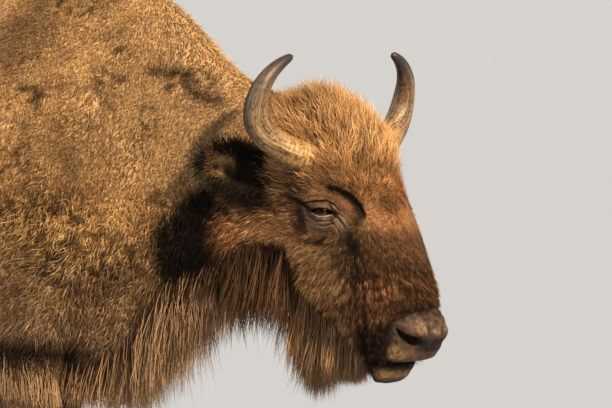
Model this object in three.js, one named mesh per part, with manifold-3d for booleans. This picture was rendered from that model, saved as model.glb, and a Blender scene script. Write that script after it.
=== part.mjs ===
// Life-size model of a standing wisent (European bison), in millimetres, +Z up, +X towards the head.
// The solids run out to the tips of the coat. The head is lowered and turned to the animal's right.
import * as THREE from "three";
import { LoftGeometry } from "three/addons/geometries/LoftGeometry.js";
import { mergeVertices } from "three/addons/utils/BufferGeometryUtils.js";
import Module from "manifold-3d";

const wasm = await Module();
wasm.setup();

// ---- driving dimensions, mm ----
const GAP = 0.3; // clearance that touching pieces keep
const HEAD_AT = new THREE.Vector3(1085, -145, 1250); // midpoint of the line through the two horn bases
const HEAD_YAW = THREE.MathUtils.degToRad(-28); // turned to the animal's right
const HEAD_CUT_AT = [-172, 0, 0]; // the cut behind the head, which leans back towards the throat
const HEAD_CUT_NORMAL = [0.98, 0, -0.2];
const NECK_CUT_AT = new THREE.Vector3(540, 0, 1100); // slanting cut in front of the shoulder
const NECK_CUT_NORMAL = new THREE.Vector3(0.985, 0, 0.17).normalize();
const TRUNK_RING = 24; // points round a trunk section
const HEAD_RING = 26;
const LEG_RING = 12;
const HORN_RING = 12;
const EAR_RING = 12;
const TAIL_RING = 10;
const BEARD_RING = 12;
const CLAW_RING = 12;
const TAIL_STEPS = 13;

// The trunk and neck, read along X: back line, belly line, half width, level of the greatest width,
// sideways bend, and how rounded each section is above and below (2 is an ellipse, less is a ridge).
const BACK_LINE = [
  [-1168, 1200], [-1142, 1285], [-1060, 1368], [-920, 1428], [-700, 1460], [-430, 1466], [-170, 1494],
  [50, 1568], [230, 1652], [390, 1697], [520, 1682], [600, 1645], [689, 1570], [821, 1436], [930, 1396],
  [1060, 1378],
];
const BELLY_LINE = [
  [-1168, 1130], [-1142, 1010], [-1060, 890], [-900, 812], [-680, 796], [-480, 776], [-230, 732], [0, 700],
  [200, 666], [350, 626], [474, 594], [593, 624], [689, 682], [749, 742], [785, 808], [800, 872],
  [860, 912], [1000, 940], [1060, 960],
];
const TRUNK_HALF_WIDTH = [
  [-1168, 40], [-1142, 118], [-1060, 200], [-920, 250], [-700, 270], [-430, 288], [-170, 316], [50, 318],
  [230, 304], [390, 288], [520, 268], [650, 236], [760, 202], [850, 180], [950, 160], [1060, 140],
];
const TRUNK_WIDEST = [[-1168, 1150], [-1000, 1090], [-600, 1075], [-170, 1010], [230, 1000], [390, 1005],
  [650, 1040], [800, 1120], [1060, 1190]];
const TRUNK_BEND = [[560, 0], [735, -14], [850, -42], [935, -76], [1060, -135]];
const ROUND_ABOVE = [[-1168, 2.1], [-700, 2.15], [-300, 2.0], [50, 1.6], [390, 1.42], [600, 1.5], [850, 1.9],
  [1060, 2.0]];
const ROUND_BELOW = [[-1168, 2.0], [-500, 2.15], [200, 2.1], [400, 1.75], [600, 1.55], [780, 1.6],
  [1060, 2.0]];
const TRUNK_STEPS = [-1168, -1152, -1115, -1060, -980, -880, -760, -620, -470, -320, -170, -50, 60, 160, 250,
  340, 430, 515, 595, 665, 725, 768, 800, 850, 930, 1055];

// The head, read down from the horn line: outline in front, outline behind, half width, and the place of
// the greatest width, all measured forwards from the horn line.
const FACE_LINE = [[154, -42], [140, 4], [112, 50], [70, 94], [20, 138], [-40, 176], [-100, 205], [-174, 231],
  [-240, 258], [-300, 279], [-345, 287], [-385, 291], [-425, 307], [-455, 309], [-480, 297], [-500, 274],
  [-515, 243], [-530, 230], [-550, 214], [-563, 190], [-572, 160]];
const NAPE_LINE = [[154, -112], [140, -140], [112, -168], [70, -192], [0, -215], [-120, -225], [-240, -215],
  [-300, -185], [-360, -120], [-400, -66], [-440, -4], [-470, 42], [-500, 88], [-530, 106], [-563, 118],
  [-572, 132]];
const HEAD_HALF_WIDTH = [[154, 36], [140, 70], [112, 102], [70, 132], [20, 150], [-40, 152], [-100, 146],
  [-174, 142], [-240, 130], [-300, 114], [-360, 95], [-400, 84], [-440, 79], [-470, 77], [-500, 70],
  [-515, 61], [-550, 53], [-563, 43], [-572, 25]];
const HEAD_WIDEST = [[154, -76], [112, -56], [20, -28], [-100, 0], [-174, 30], [-300, 85], [-400, 150],
  [-450, 200], [-500, 200], [-550, 175], [-572, 148]];
const HEAD_ROUND = [[154, 2.0], [-174, 2.05], [-300, 2.1], [-400, 2.2], [-450, 2.5], [-500, 2.4],
  [-572, 2.0]];
const HEAD_STEPS = [154, 148, 132, 105, 65, 20, -30, -80, -130, -180, -230, -280, -325, -362, -395, -422,
  -448, -472, -494, -511, -524, -545, -562, -572];

// The beard under the jaw, read down from the horn line.
const BEARD_LINE = [ // level, middle, half length, half width
  [-290, -150, 110, 60], [-340, -160, 140, 84], [-400, -150, 160, 84], [-440, -126, 164, 76],
  [-480, -96, 154, 64], [-520, -62, 136, 50], [-560, -44, 106, 36], [-600, -50, 66, 22], [-628, -58, 30, 10],
];

// Legs from the body down: [forwards, outwards, height, fore-and-aft size, width].
const FORELEG = [
  [470, 165, 1130, 180, 100], [446, 190, 1050, 310, 164], [400, 212, 960, 330, 172],
  [345, 212, 860, 300, 168], [305, 200, 770, 238, 152],
  [308, 188, 690, 188, 134], [318, 180, 590, 150, 118], [326, 175, 490, 122, 106], [330, 173, 445, 124, 112],
  [326, 172, 395, 104, 96], [320, 171, 340, 86, 80], [317, 170, 250, 78, 72], [318, 170, 190, 86, 80],
  [320, 170, 152, 98, 94], [330, 170, 118, 90, 94], [344, 170, 90, 100, 106], [350, 170, 76, 106, 114],
];
const HINDLEG = [
  [-900, 130, 1200, 400, 180], [-885, 158, 1080, 490, 196], [-872, 174, 950, 480, 200],
  [-872, 180, 850, 412, 178], [-886, 176, 760, 310, 148], [-918, 170, 670, 212, 118],
  [-954, 164, 590, 156, 98], [-972, 162, 535, 144, 98], [-966, 160, 480, 124, 94], [-952, 160, 410, 98, 82],
  [-946, 160, 300, 82, 74], [-944, 160, 205, 88, 80], [-940, 160, 155, 100, 94], [-928, 160, 118, 92, 94],
  [-912, 160, 90, 102, 106], [-906, 160, 76, 108, 114],
];
const FORELEG_CUT = 775; // height where a foreleg leaves the body
const HINDLEG_CUT = 835;
const HOOF_HEIGHT = 76;
const FEET = {
  front_right: { leg: FORELEG, cut: FORELEG_CUT, side: -1, stride: 25 },
  front_left: { leg: FORELEG, cut: FORELEG_CUT, side: 1, stride: -70 },
  hind_right: { leg: HINDLEG, cut: HINDLEG_CUT, side: -1, stride: -45 },
  hind_left: { leg: HINDLEG, cut: HINDLEG_CUT, side: 1, stride: 75 },
};

const CLAW = { length: 118, width: 54, topLength: 78, topWidth: 50, lead: 22, apart: 4 };
const DEWCLAW = { radius: 15, height: 112, apart: 27, behind: 59, narrow: 0.86, drop: 1.5 };

// Tail: [behind, height, thickness], from the root to the tip of the brush.
const TAIL = [
  [-1120, 1318, 66], [-1158, 1298, 70], [-1190, 1240, 62], [-1204, 1158, 56], [-1210, 1060, 54],
  [-1212, 960, 62], [-1212, 860, 80], [-1210, 760, 94], [-1207, 670, 88], [-1204, 600, 60], [-1202, 560, 22],
];

// A horn's centre line in the head's frame [forwards, outwards, up] and its thickness along it.
const HORN_LINE = [
  [2, 118, -42], [-6, 150, -34], [-18, 186, -16], [-30, 226, 10], [-33, 250, 42], [-28, 258, 78],
  [-16, 252, 118], [-5, 234, 150], [4, 206, 174], [9, 176, 190],
];
const HORN_THICKNESS = [[0, 66], [0.2, 68], [0.42, 62], [0.6, 52], [0.78, 37], [0.92, 22], [1, 8]];
const HORN_STEPS = 12;

const EAR = {
  root: [-128, 128, -88], tip: [-218, 262, -52], width: 108, thick: 46, hollow: 0.35, rolled: 14, steps: 8,
};
const EYE = { at: [53, 113, -168], radius: 22 };

// ---- shape tools ----

// A smooth curve through [place, value] keys that never overshoots them (monotone cubic).
function curve(keys) {
  const sorted = [...keys].sort((a, b) => a[0] - b[0]);
  const xs = sorted.map((k) => k[0]);
  const ys = sorted.map((k) => k[1]);
  const slopes = xs.slice(1).map((x, i) => (ys[i + 1] - ys[i]) / (x - xs[i]));
  const tangents = xs.map((_, i) => {
    if (i === 0) return slopes[0];
    if (i === slopes.length) return slopes[i - 1];
    if (slopes[i - 1] * slopes[i] <= 0) return 0;
    return (2 * slopes[i - 1] * slopes[i]) / (slopes[i - 1] + slopes[i]);
  });
  return (x) => {
    const t = THREE.MathUtils.clamp(x, xs[0], xs[xs.length - 1]);
    let i = 0;
    while (i < xs.length - 2 && t > xs[i + 1]) i++;
    const h = xs[i + 1] - xs[i];
    const s = (t - xs[i]) / h;
    return (
      ys[i] * (1 + 2 * s) * (1 - s) ** 2 + tangents[i] * h * s * (1 - s) ** 2 +
      ys[i + 1] * s * s * (3 - 2 * s) + tangents[i + 1] * h * s * s * (s - 1)
    );
  };
}

// One point of an egg-shaped section: a superellipse with its own size and roundness on each side.
function eggPoint(angle, halfAcross, along, back, roundAlong, roundBack) {
  const c = Math.cos(angle);
  const s = Math.sin(angle);
  const power = 2 / (s > 0 ? roundAlong : roundBack);
  return [
    halfAcross * Math.sign(c) * Math.abs(c) ** power,
    (s > 0 ? along : back) * Math.sign(s) * Math.abs(s) ** power,
  ];
}

function ringOf(count, place) {
  return Array.from({ length: count }, (_, i) => place((i / count) * 2 * Math.PI));
}

// A closed surface through sections. Each end is drawn in to the middle of its own section.
function loftGeometry(sections) {
  const drawnIn = (section) => {
    const middle = section.reduce((sum, p) => sum.add(p), new THREE.Vector3()).divideScalar(section.length);
    return section.map(() => middle);
  };
  return new LoftGeometry([drawnIn(sections[0]), ...sections, drawnIn(sections[sections.length - 1])]);
}

function loft(sections) {
  return solidOf(loftGeometry(sections));
}

function solidOf(geometry) {
  const loose = geometry.index ? geometry.toNonIndexed() : geometry.clone();
  const bare = new THREE.BufferGeometry().setAttribute("position", loose.getAttribute("position"));
  const welded = mergeVertices(bare, 1e-3);
  const index = welded.index.array;
  const triVerts = [];
  for (let i = 0; i < index.length; i += 3) {
    const [a, b, c] = [index[i], index[i + 1], index[i + 2]];
    if (a !== b && b !== c && c !== a) triVerts.push(a, b, c);
  }
  const make = (tris) => new wasm.Manifold(new wasm.Mesh({
    numProp: 3,
    vertProperties: welded.attributes.position.array,
    triVerts: new Uint32Array(tris),
  }));
  const made = make(triVerts);
  if (made.volume() > 0) return made;
  const flipped = [];
  for (let i = 0; i < triVerts.length; i += 3) flipped.push(triVerts[i], triVerts[i + 2], triVerts[i + 1]);
  return make(flipped);
}

function geometryOf(solid) {
  const mesh = solid.getMesh();
  const positions = new Float32Array(mesh.numVert * 3);
  for (let i = 0; i < mesh.numVert; i++) {
    positions.set(mesh.vertProperties.subarray(i * mesh.numProp, i * mesh.numProp + 3), i * 3);
  }
  return new THREE.BufferGeometry()
    .setAttribute("position", new THREE.BufferAttribute(positions, 3))
    .setIndex(new THREE.BufferAttribute(mesh.triVerts, 1));
}

// The side of a solid that a plane's normal points to, kept clear of the plane by half the gap.
function ahead(solid, normal, point) {
  return solid.trimByPlane(normal.toArray(), normal.dot(point) + GAP / 2);
}

function behind(solid, normal, point) {
  return ahead(solid, normal.clone().negate(), point);
}

// ---- the body ----

const headFrame = new THREE.Matrix4().makeRotationZ(HEAD_YAW).setPosition(HEAD_AT);

// A point of the head, from forwards, outwards on a side (-1 is the right) and up.
function headPoint(forwards, outwards, up, side = 1) {
  return new THREE.Vector3(forwards, side * outwards, up).applyMatrix4(headFrame);
}

function makeTrunk() {
  const [top, bottom, half, widest, bend, above, below] = [
    BACK_LINE, BELLY_LINE, TRUNK_HALF_WIDTH, TRUNK_WIDEST, TRUNK_BEND, ROUND_ABOVE, ROUND_BELOW,
  ].map(curve);
  return loft(TRUNK_STEPS.map((x) => ringOf(TRUNK_RING, (angle) => {
    const level = THREE.MathUtils.clamp(widest(x), bottom(x) + 10, top(x) - 10);
    const [y, z] = eggPoint(angle, half(x), top(x) - level, level - bottom(x), above(x), below(x));
    return new THREE.Vector3(x, bend(x) + y, level + z);
  })));
}

function makeSkull() {
  const [front, back, half, widest, round] = [
    FACE_LINE, NAPE_LINE, HEAD_HALF_WIDTH, HEAD_WIDEST, HEAD_ROUND,
  ].map(curve);
  return loft(HEAD_STEPS.map((up) => ringOf(HEAD_RING, (angle) => {
    const middle = THREE.MathUtils.clamp(widest(up), back(up) + 8, front(up) - 8);
    const [y, x] = eggPoint(angle, half(up), front(up) - middle, middle - back(up), round(up), 2);
    return headPoint(middle + x, y, up);
  })));
}

function makeBeard() {
  return loft(BEARD_LINE.map(([up, middle, halfLength, halfWidth]) => ringOf(BEARD_RING, (angle) =>
    headPoint(middle + halfLength * Math.sin(angle), halfWidth * Math.cos(angle), up))));
}

// A leg of elliptical sections. The foot is carried forwards by the stride, more and more down the leg.
function makeLeg({ leg, side, stride }, grow = 0) {
  const top = leg[0][2];
  const sections = leg.map(([x, y, z, deep, wide]) => {
    const carried = x + stride * ((top - z) / (top - HOOF_HEIGHT)) ** 1.3;
    return ringOf(LEG_RING, (angle) => new THREE.Vector3(
      carried + (deep / 2 + grow) * Math.sin(angle), side * y + (wide / 2 + grow) * Math.cos(angle), z));
  });
  return loft(sections);
}

function footPlace({ leg, side, stride }) {
  const [x, y] = leg[leg.length - 1];
  return new THREE.Vector3(x + stride, side * y, 0);
}

// A tube of round sections along a line of points, square to the line, its thickness read along it.
function tube(points, thickness, steps, ring, grow = 0) {
  const line = new THREE.CatmullRomCurve3(points, false, "centripetal");
  const frames = line.computeFrenetFrames(steps, false);
  return loft(Array.from({ length: steps + 1 }, (_, i) => {
    const t = i / steps;
    const centre = line.getPointAt(t).addScaledVector(line.getTangentAt(t), (2 * t - 1) * grow);
    const radius = thickness(t) / 2 + grow;
    return ringOf(ring, (angle) => centre.clone()
      .addScaledVector(frames.normals[i], radius * Math.cos(angle))
      .addScaledVector(frames.binormals[i], radius * Math.sin(angle)));
  }));
}

function makeHorn(side, grow = 0) {
  const points = HORN_LINE.map(([f, o, u]) => headPoint(f, o, u, side));
  return tube(points, curve(HORN_THICKNESS), HORN_STEPS, HORN_RING, grow);
}

// A leaf-shaped ear: wide and thin, hollowed in front, its blade facing forwards and outwards.
function makeEar(side, grow = 0) {
  const root = headPoint(...EAR.root, side);
  const tip = headPoint(...EAR.tip, side);
  const along = tip.clone().sub(root).normalize();
  const face = headPoint(1, 0.45, -0.1, side).sub(HEAD_AT).normalize();
  const across = new THREE.Vector3().crossVectors(along, face).normalize();
  const front = new THREE.Vector3().crossVectors(across, along).normalize();
  const blade = curve([[0, 0.55], [0.2, 0.82], [0.5, 1], [0.75, 0.86], [0.92, 0.5], [1, 0.16]]);
  const length = root.distanceTo(tip);
  return loft(Array.from({ length: EAR.steps + 1 }, (_, i) => {
    const t = i / EAR.steps;
    const half = (EAR.width / 2) * blade(t);
    const thin = (EAR.thick / 2) * (0.45 + 0.55 * blade(t)) * (1 - 0.35 * t);
    return ringOf(EAR_RING, (angle) => {
      const out = (half + grow) * Math.cos(angle);
      const bulge = thin * (Math.sin(angle) > 0 ? EAR.hollow : 1) + grow;
      return root.clone()
        .addScaledVector(along, length * t + (2 * t - 1) * grow)
        .addScaledVector(across, out)
        .addScaledVector(front, bulge * Math.sin(angle) + EAR.rolled * (out / half) ** 2 * (1 - t));
    });
  }));
}

function makeEye(grow = 0) {
  return new THREE.SphereGeometry(EYE.radius + grow, 10, 8);
}

function makeTail(grow = 0) {
  const points = TAIL.map(([x, z]) => new THREE.Vector3(x, 0, z));
  const last = TAIL.length - 1;
  return tube(points, curve(TAIL.map(([, , thick], i) => [i / last, thick])), TAIL_STEPS, TAIL_RING, grow);
}

// One claw of a cloven hoof: flat on the ground, its front wall leaning back to the coronet.
function makeClaw(side) {
  const levels = [[0, 0.96], [0.08, 1], [0.5, 0.55], [1, 0]];
  const [roundLeft, roundRight] = side > 0 ? [2.0, 3.2] : [3.2, 2.0];
  return geometryOf(loft(levels.map(([level, spread]) => ringOf(CLAW_RING, (angle) => {
    const halfLength = THREE.MathUtils.lerp(CLAW.topLength, CLAW.length, spread) / 2;
    const halfWidth = THREE.MathUtils.lerp(CLAW.topWidth, CLAW.width, spread) / 2;
    const [x, y] = eggPoint(angle, halfLength, halfWidth, halfWidth, roundLeft, roundRight);
    return new THREE.Vector3(x + CLAW.lead * spread, y, level * (HOOF_HEIGHT - GAP));
  }))));
}

// One of the two small claws behind the fetlock: a ball drawn out downwards.
function makeDewclaw(grow = 0) {
  return new THREE.SphereGeometry(DEWCLAW.radius + grow, 8, 5).scale(1, DEWCLAW.narrow, DEWCLAW.drop);
}

// ---- assembly ----

const colours = {
  coat: new THREE.MeshStandardMaterial({ color: 0x8a5f36, roughness: 0.9, metalness: 0 }),
  darkCoat: new THREE.MeshStandardMaterial({ color: 0x4d3623, roughness: 0.9, metalness: 0 }),
  horn: new THREE.MeshStandardMaterial({ color: 0x6b5b42, roughness: 0.5, metalness: 0 }),
  hoof: new THREE.MeshStandardMaterial({ color: 0x2b2522, roughness: 0.55, metalness: 0 }),
  eye: new THREE.MeshStandardMaterial({ color: 0x1d120b, roughness: 0.08, metalness: 0 }),
};

const wisent = new THREE.Group();

function addNode(name, shape, material, parent = wisent) {
  const mesh = new THREE.Mesh(shape.isBufferGeometry ? shape : geometryOf(shape), material);
  mesh.name = name;
  parent.add(mesh);
  return mesh;
}

const SIDES = { right: -1, left: 1 };
const UP = new THREE.Vector3(0, 0, 1);

let flesh = makeTrunk().add(makeSkull()).add(makeBeard());
for (const foot of Object.values(FEET)) {
  flesh = flesh.add(ahead(makeLeg(foot), UP, new THREE.Vector3(0, 0, foot.cut - GAP)));
}
const sockets = [];

for (const [name, foot] of Object.entries(FEET)) {
  const cutPoint = new THREE.Vector3(0, 0, foot.cut);
  const ground = footPlace(foot);
  sockets.push(behind(makeLeg(foot, GAP), UP, new THREE.Vector3(0, 0, foot.cut + 2 * GAP)));
  let leg = behind(makeLeg(foot), UP, cutPoint);
  const hooves = new THREE.Group();
  hooves.position.copy(ground);
  wisent.add(hooves);
  for (const [part, across] of [["inner", -foot.side], ["outer", foot.side]]) {
    const claw = addNode(`hoof_${name}_${part}`, makeClaw(across), colours.hoof, hooves);
    claw.position.y = across * (CLAW.width + CLAW.apart) / 2;
    const dewclaw = addNode(`dewclaw_${name}_${part}`, makeDewclaw(), colours.hoof, hooves);
    dewclaw.position.set(-DEWCLAW.behind, across * DEWCLAW.apart, DEWCLAW.height);
    const socket = makeDewclaw(GAP).translate(...dewclaw.position.clone().add(ground).toArray());
    leg = leg.subtract(solidOf(socket));
  }
  addNode(`leg_${name}`, leg, colours.darkCoat);
}

for (const [name, side] of Object.entries(SIDES)) {
  addNode(`horn_${name}`, makeHorn(side), colours.horn);
  addNode(`ear_${name}`, makeEar(side), colours.darkCoat);
  sockets.push(makeHorn(side, GAP), makeEar(side, 3 * GAP));
  const eye = addNode(`eye_${name}`, makeEye(), colours.eye);
  eye.position.copy(headPoint(...EYE.at, side));
  sockets.push(solidOf(makeEye(GAP).translate(...eye.position.toArray())));
  // the cone through which the eye looks out of the coat
  const lookOut = headPoint(0.42, 0.9, 0.02, side).sub(HEAD_AT).normalize();
  const opening = new THREE.ConeGeometry(46, 92, 14).rotateX(-Math.PI / 2).translate(0, 0, 40);
  opening.applyMatrix4(new THREE.Matrix4().lookAt(lookOut, new THREE.Vector3(), UP));
  opening.translate(...eye.position.toArray());
  sockets.push(solidOf(opening));
}

addNode("tail", makeTail(), colours.darkCoat);
sockets.push(makeTail(GAP));

for (const socket of sockets) flesh = flesh.subtract(socket);

const headCutAt = headPoint(...HEAD_CUT_AT);
const headCutNormal = headPoint(...HEAD_CUT_NORMAL).sub(HEAD_AT).normalize();
addNode("head", ahead(flesh, headCutNormal, headCutAt), colours.coat);
const body = behind(flesh, headCutNormal, headCutAt);
addNode("neck", ahead(body, NECK_CUT_NORMAL, NECK_CUT_AT), colours.coat);
addNode("trunk", behind(body, NECK_CUT_NORMAL, NECK_CUT_AT), colours.coat);

// the origin goes to the middle of the footprint of the whole
wisent.updateMatrixWorld(true);
const middle = new THREE.Box3().setFromObject(wisent, true).getCenter(new THREE.Vector3());
wisent.position.set(-middle.x, -middle.y, 0);

export default wisent;
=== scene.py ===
"""A life-size wisent (European bison): one skin, eyes, horns and hooves, and a coat of solid tufts, round the fixed
frame.

Sizes in the tables are millimetres. "Body axes" are +X forwards, +Y left, +Z up from the floor. "Head axes" are
forwards, left and up from the middle of the line through the two horn bases, turned with the head.
"""
from itertools import product

import bmesh
import bpy
import numpy as np
from bpy.props import FloatProperty, FloatVectorProperty, IntProperty, PointerProperty
from mathutils import Matrix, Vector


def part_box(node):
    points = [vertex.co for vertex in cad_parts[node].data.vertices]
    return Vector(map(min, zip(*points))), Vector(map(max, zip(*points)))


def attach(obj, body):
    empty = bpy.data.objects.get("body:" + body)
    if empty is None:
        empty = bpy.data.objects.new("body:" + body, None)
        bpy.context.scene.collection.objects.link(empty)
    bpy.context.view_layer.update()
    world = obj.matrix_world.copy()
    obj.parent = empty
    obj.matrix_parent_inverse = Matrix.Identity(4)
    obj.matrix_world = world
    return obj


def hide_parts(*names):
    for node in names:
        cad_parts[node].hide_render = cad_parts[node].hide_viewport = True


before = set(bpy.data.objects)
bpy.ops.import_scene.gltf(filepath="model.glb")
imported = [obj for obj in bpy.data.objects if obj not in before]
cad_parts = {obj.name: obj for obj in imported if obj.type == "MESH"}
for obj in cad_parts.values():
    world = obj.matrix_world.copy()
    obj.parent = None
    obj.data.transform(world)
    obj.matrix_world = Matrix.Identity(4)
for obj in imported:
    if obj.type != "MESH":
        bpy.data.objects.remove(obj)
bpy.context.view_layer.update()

bl_info = {
    "name": "Wisent",
    "version": (1, 0, 0),
    "blender": (4, 5, 0),
    "location": "View3D > Sidebar > Wisent",
    "description": "Builds the skin, eyes, horns, hooves and coat of a life-size wisent",
    "category": "Object",
}

MM = 0.001
SEED = 7
SIDES = {"right": -1, "left": 1}
FEET = ("front_right", "front_left", "hind_right", "hind_left")

# ---- places, read from the frame ----

EYE_PLACE = np.array([53.0, 113.0, -168.0])  # head axes, on the left
HEAD_FROM_BODY = np.array([1085.0, -145.0, 1250.0])  # the head's origin in body axes


def box_middle(node):
    """The middle of a node of the frame, in metres."""
    low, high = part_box(node)
    return (np.array(low) + np.array(high)) / 2


def head_axes():
    """The head's forward, left and up axes, as columns, and its origin, from the two eyes of the frame."""
    right, left = box_middle("eye_right"), box_middle("eye_left")
    across = (left - right) / np.linalg.norm(left - right)
    axes = np.column_stack([np.cross(across, [0, 0, 1]), across, [0, 0, 1]])
    origin = (right + left) / 2 - axes @ (EYE_PLACE * [1, 0, 1]) * MM
    return axes, origin


HEAD_AXES, HEAD_ORIGIN = head_axes()
BODY_ORIGIN = HEAD_ORIGIN - HEAD_FROM_BODY * MM


def to_head(points):
    return (points - HEAD_ORIGIN) @ HEAD_AXES / MM


def from_head(local):
    return HEAD_ORIGIN + np.asarray(local) @ HEAD_AXES.T * MM


def to_body(points):
    return (points - BODY_ORIGIN) / MM


def from_body(local):
    return BODY_ORIGIN + np.asarray(local) * MM


# ---- flesh under the coat ----

# Trunk and neck along X: back, belly, half width, level of the greatest width, sideways bend, roundness.
BACK = [(-1160, 1185), (-1142, 1262), (-1060, 1348), (-920, 1410), (-700, 1444), (-430, 1450), (-170, 1474),
        (50, 1542), (230, 1618), (390, 1656), (520, 1638), (600, 1600), (689, 1526), (821, 1390), (930, 1344),
        (1060, 1318)]
BELLY = [(-1160, 1140), (-1142, 1024), (-1060, 902), (-900, 824), (-680, 810), (-480, 790), (-230, 750),
         (0, 720), (200, 696), (350, 684), (474, 690), (593, 752), (689, 838), (749, 888), (800, 926),
         (860, 950), (1000, 975), (1060, 990)]
HALF_WIDTH = [(-1160, 30), (-1142, 106), (-1060, 190), (-920, 240), (-700, 259), (-430, 276), (-170, 302),
              (50, 300), (230, 282), (390, 262), (520, 238), (650, 202), (760, 168), (850, 145), (950, 126),
              (1060, 106)]
WIDEST = [(-1168, 1150), (-1000, 1090), (-600, 1075), (-170, 1010), (230, 1000), (390, 1005), (650, 1040),
          (800, 1120), (1060, 1190)]
BEND = [(560, 0), (735, -14), (850, -42), (935, -76), (1060, -135)]
ROUND_ABOVE = [(-1168, 2.1), (-700, 2.1), (-300, 1.95), (50, 1.6), (390, 1.45), (600, 1.5), (850, 1.9), (1060, 2)]
ROUND_BELOW = [(-1168, 2.0), (-500, 2.15), (200, 2.1), (400, 1.8), (600, 1.6), (780, 1.65), (1060, 2)]

# Head, read down from the horn line: outline in front and behind, half width, widest place, roundness.
FACE = [(96, -66), (88, -40), (62, 4), (20, 58), (-40, 112), (-100, 146), (-174, 186), (-240, 224), (-300, 254),
        (-345, 270), (-385, 284), (-415, 297), (-440, 296), (-460, 289), (-478, 279), (-492, 268), (-502, 252),
        (-509, 228), (-515, 204), (-530, 195), (-550, 180), (-563, 160), (-570, 148)]
NAPE = [(96, -92), (88, -118), (62, -150), (20, -172), (0, -180), (-120, -190), (-240, -180), (-300, -150),
        (-360, -95), (-400, -45), (-440, 12), (-470, 54), (-500, 97), (-530, 110), (-552, 116), (-563, 126),
        (-570, 138)]
HEAD_HALF = [(96, 20), (88, 48), (62, 84), (20, 108), (-40, 116), (-100, 120), (-174, 126), (-240, 116),
             (-300, 100), (-360, 85), (-400, 77), (-440, 75), (-470, 73), (-500, 66), (-515, 54), (-530, 48),
             (-550, 45), (-563, 37), (-570, 23)]
HEAD_WIDEST = [(96, -80), (62, -60), (20, -40), (-100, 0), (-174, 34), (-300, 85), (-400, 150), (-450, 200),
               (-500, 200), (-515, 178), (-530, 168), (-550, 160), (-570, 142)]
HEAD_ROUND = [(96, 2.0), (-174, 2.05), (-300, 2.1), (-400, 2.2), (-450, 2.35), (-500, 2.25), (-570, 2.0)]

# Legs from the body down: forwards, outwards, height, fore-and-aft size, width.
FORELEG = [(470, 165, 1120, 170, 90), (446, 188, 1050, 290, 140), (400, 204, 960, 306, 150),
           (345, 204, 860, 276, 146), (305, 196, 770, 214, 130), (308, 186, 690, 168, 114),
           (318, 179, 590, 132, 100), (326, 175, 490, 106, 90), (330, 173, 445, 108, 96),
           (326, 172, 395, 90, 82), (320, 171, 340, 74, 68), (317, 170, 250, 67, 61), (318, 170, 190, 74, 69),
           (320, 170, 152, 86, 82), (330, 170, 118, 82, 84), (344, 170, 90, 92, 98), (350, 170, 72, 100, 107)]
HINDLEG = [(-900, 130, 1190, 380, 160), (-885, 156, 1080, 464, 174), (-872, 170, 950, 454, 178),
           (-872, 176, 850, 388, 158), (-886, 174, 760, 290, 130), (-918, 169, 670, 194, 102),
           (-954, 164, 590, 140, 84), (-972, 162, 535, 128, 84), (-966, 160, 480, 110, 81),
           (-952, 160, 410, 85, 70), (-946, 160, 300, 71, 63), (-944, 160, 205, 76, 69),
           (-940, 160, 155, 88, 82), (-928, 160, 118, 84, 84), (-912, 160, 90, 94, 98), (-906, 160, 72, 102, 107)]
LEG_TABLES = {"front_right": (FORELEG, -1, 25), "front_left": (FORELEG, 1, -70),
              "hind_right": (HINDLEG, -1, -45), "hind_left": (HINDLEG, 1, 75)}
HOOF_HEIGHT = 76
STRIDE_POWER = 1.3

# Tail core: backwards, height, thickness.
TAIL = [(-1100, 1310, 44), (-1150, 1288, 44), (-1186, 1235, 36), (-1202, 1158, 28), (-1209, 1060, 24),
        (-1211, 960, 22), (-1211, 860, 20), (-1210, 760, 16), (-1208, 690, 10)]

# Ear blade in head axes (left side): root, tip, widest width, thickness and the depth of its hollow.
EAR_ROOT = np.array([-112.0, 108.0, -88.0])
EAR_TIP = np.array([-208.0, 244.0, -55.0])
EAR_WIDTH = 84
EAR_THICK = 13
EAR_HOLLOW = 22

# The way the left eye looks, in head axes.
EYE_LOOK = np.array([0.42, 0.90, 0.0]) / np.hypot(0.42, 0.90)
LID_SLOPE = -0.08  # the front corner of the eye lies lower

# Horn in head axes (left side): its middle line from root to tip, and its thickness read along it.
HORN_LINE = [(2, 118, -42), (-6, 150, -34), (-18, 186, -16), (-30, 226, 10), (-33, 250, 42), (-28, 258, 78),
             (-16, 252, 118), (-5, 234, 150), (4, 206, 174), (9, 176, 190)]
HORN_THICK = [(0, 64), (0.12, 67), (0.2, 65), (0.42, 60), (0.6, 50), (0.78, 36), (0.92, 24), (0.98, 17), (1, 8)]

# A claw on the ground and at its top, and how far it leads forwards on the ground.
CLAW = {"length": 118, "width": 54, "top_length": 78, "top_width": 50, "lead": 22}


# ---- colours ----


def srgb(code):
    """A #rrggbb colour in linear light."""
    parts = np.array([int(code[i:i + 2], 16) for i in (1, 3, 5)]) / 255
    return np.where(parts <= 0.04045, parts / 12.92, ((parts + 0.055) / 1.055) ** 2.4)


# ---- numbers as whole arrays ----


def step(low, high, value):
    """0 below low, 1 above high, and a smooth rise between them (low may lie above high)."""
    t = np.clip((value - low) / (high - low), 0, 1)
    return t * t * (3 - 2 * t)


def cubic(low, high, leaving, reaching, gap, s):
    """From low to high over a gap, at shares s of it, with these slopes at its two ends."""
    return (low * (1 + 2 * s) * (1 - s) ** 2 + leaving * gap * s * (1 - s) ** 2
            + high * s * s * (3 - 2 * s) + reaching * gap * s * s * (s - 1))


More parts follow.
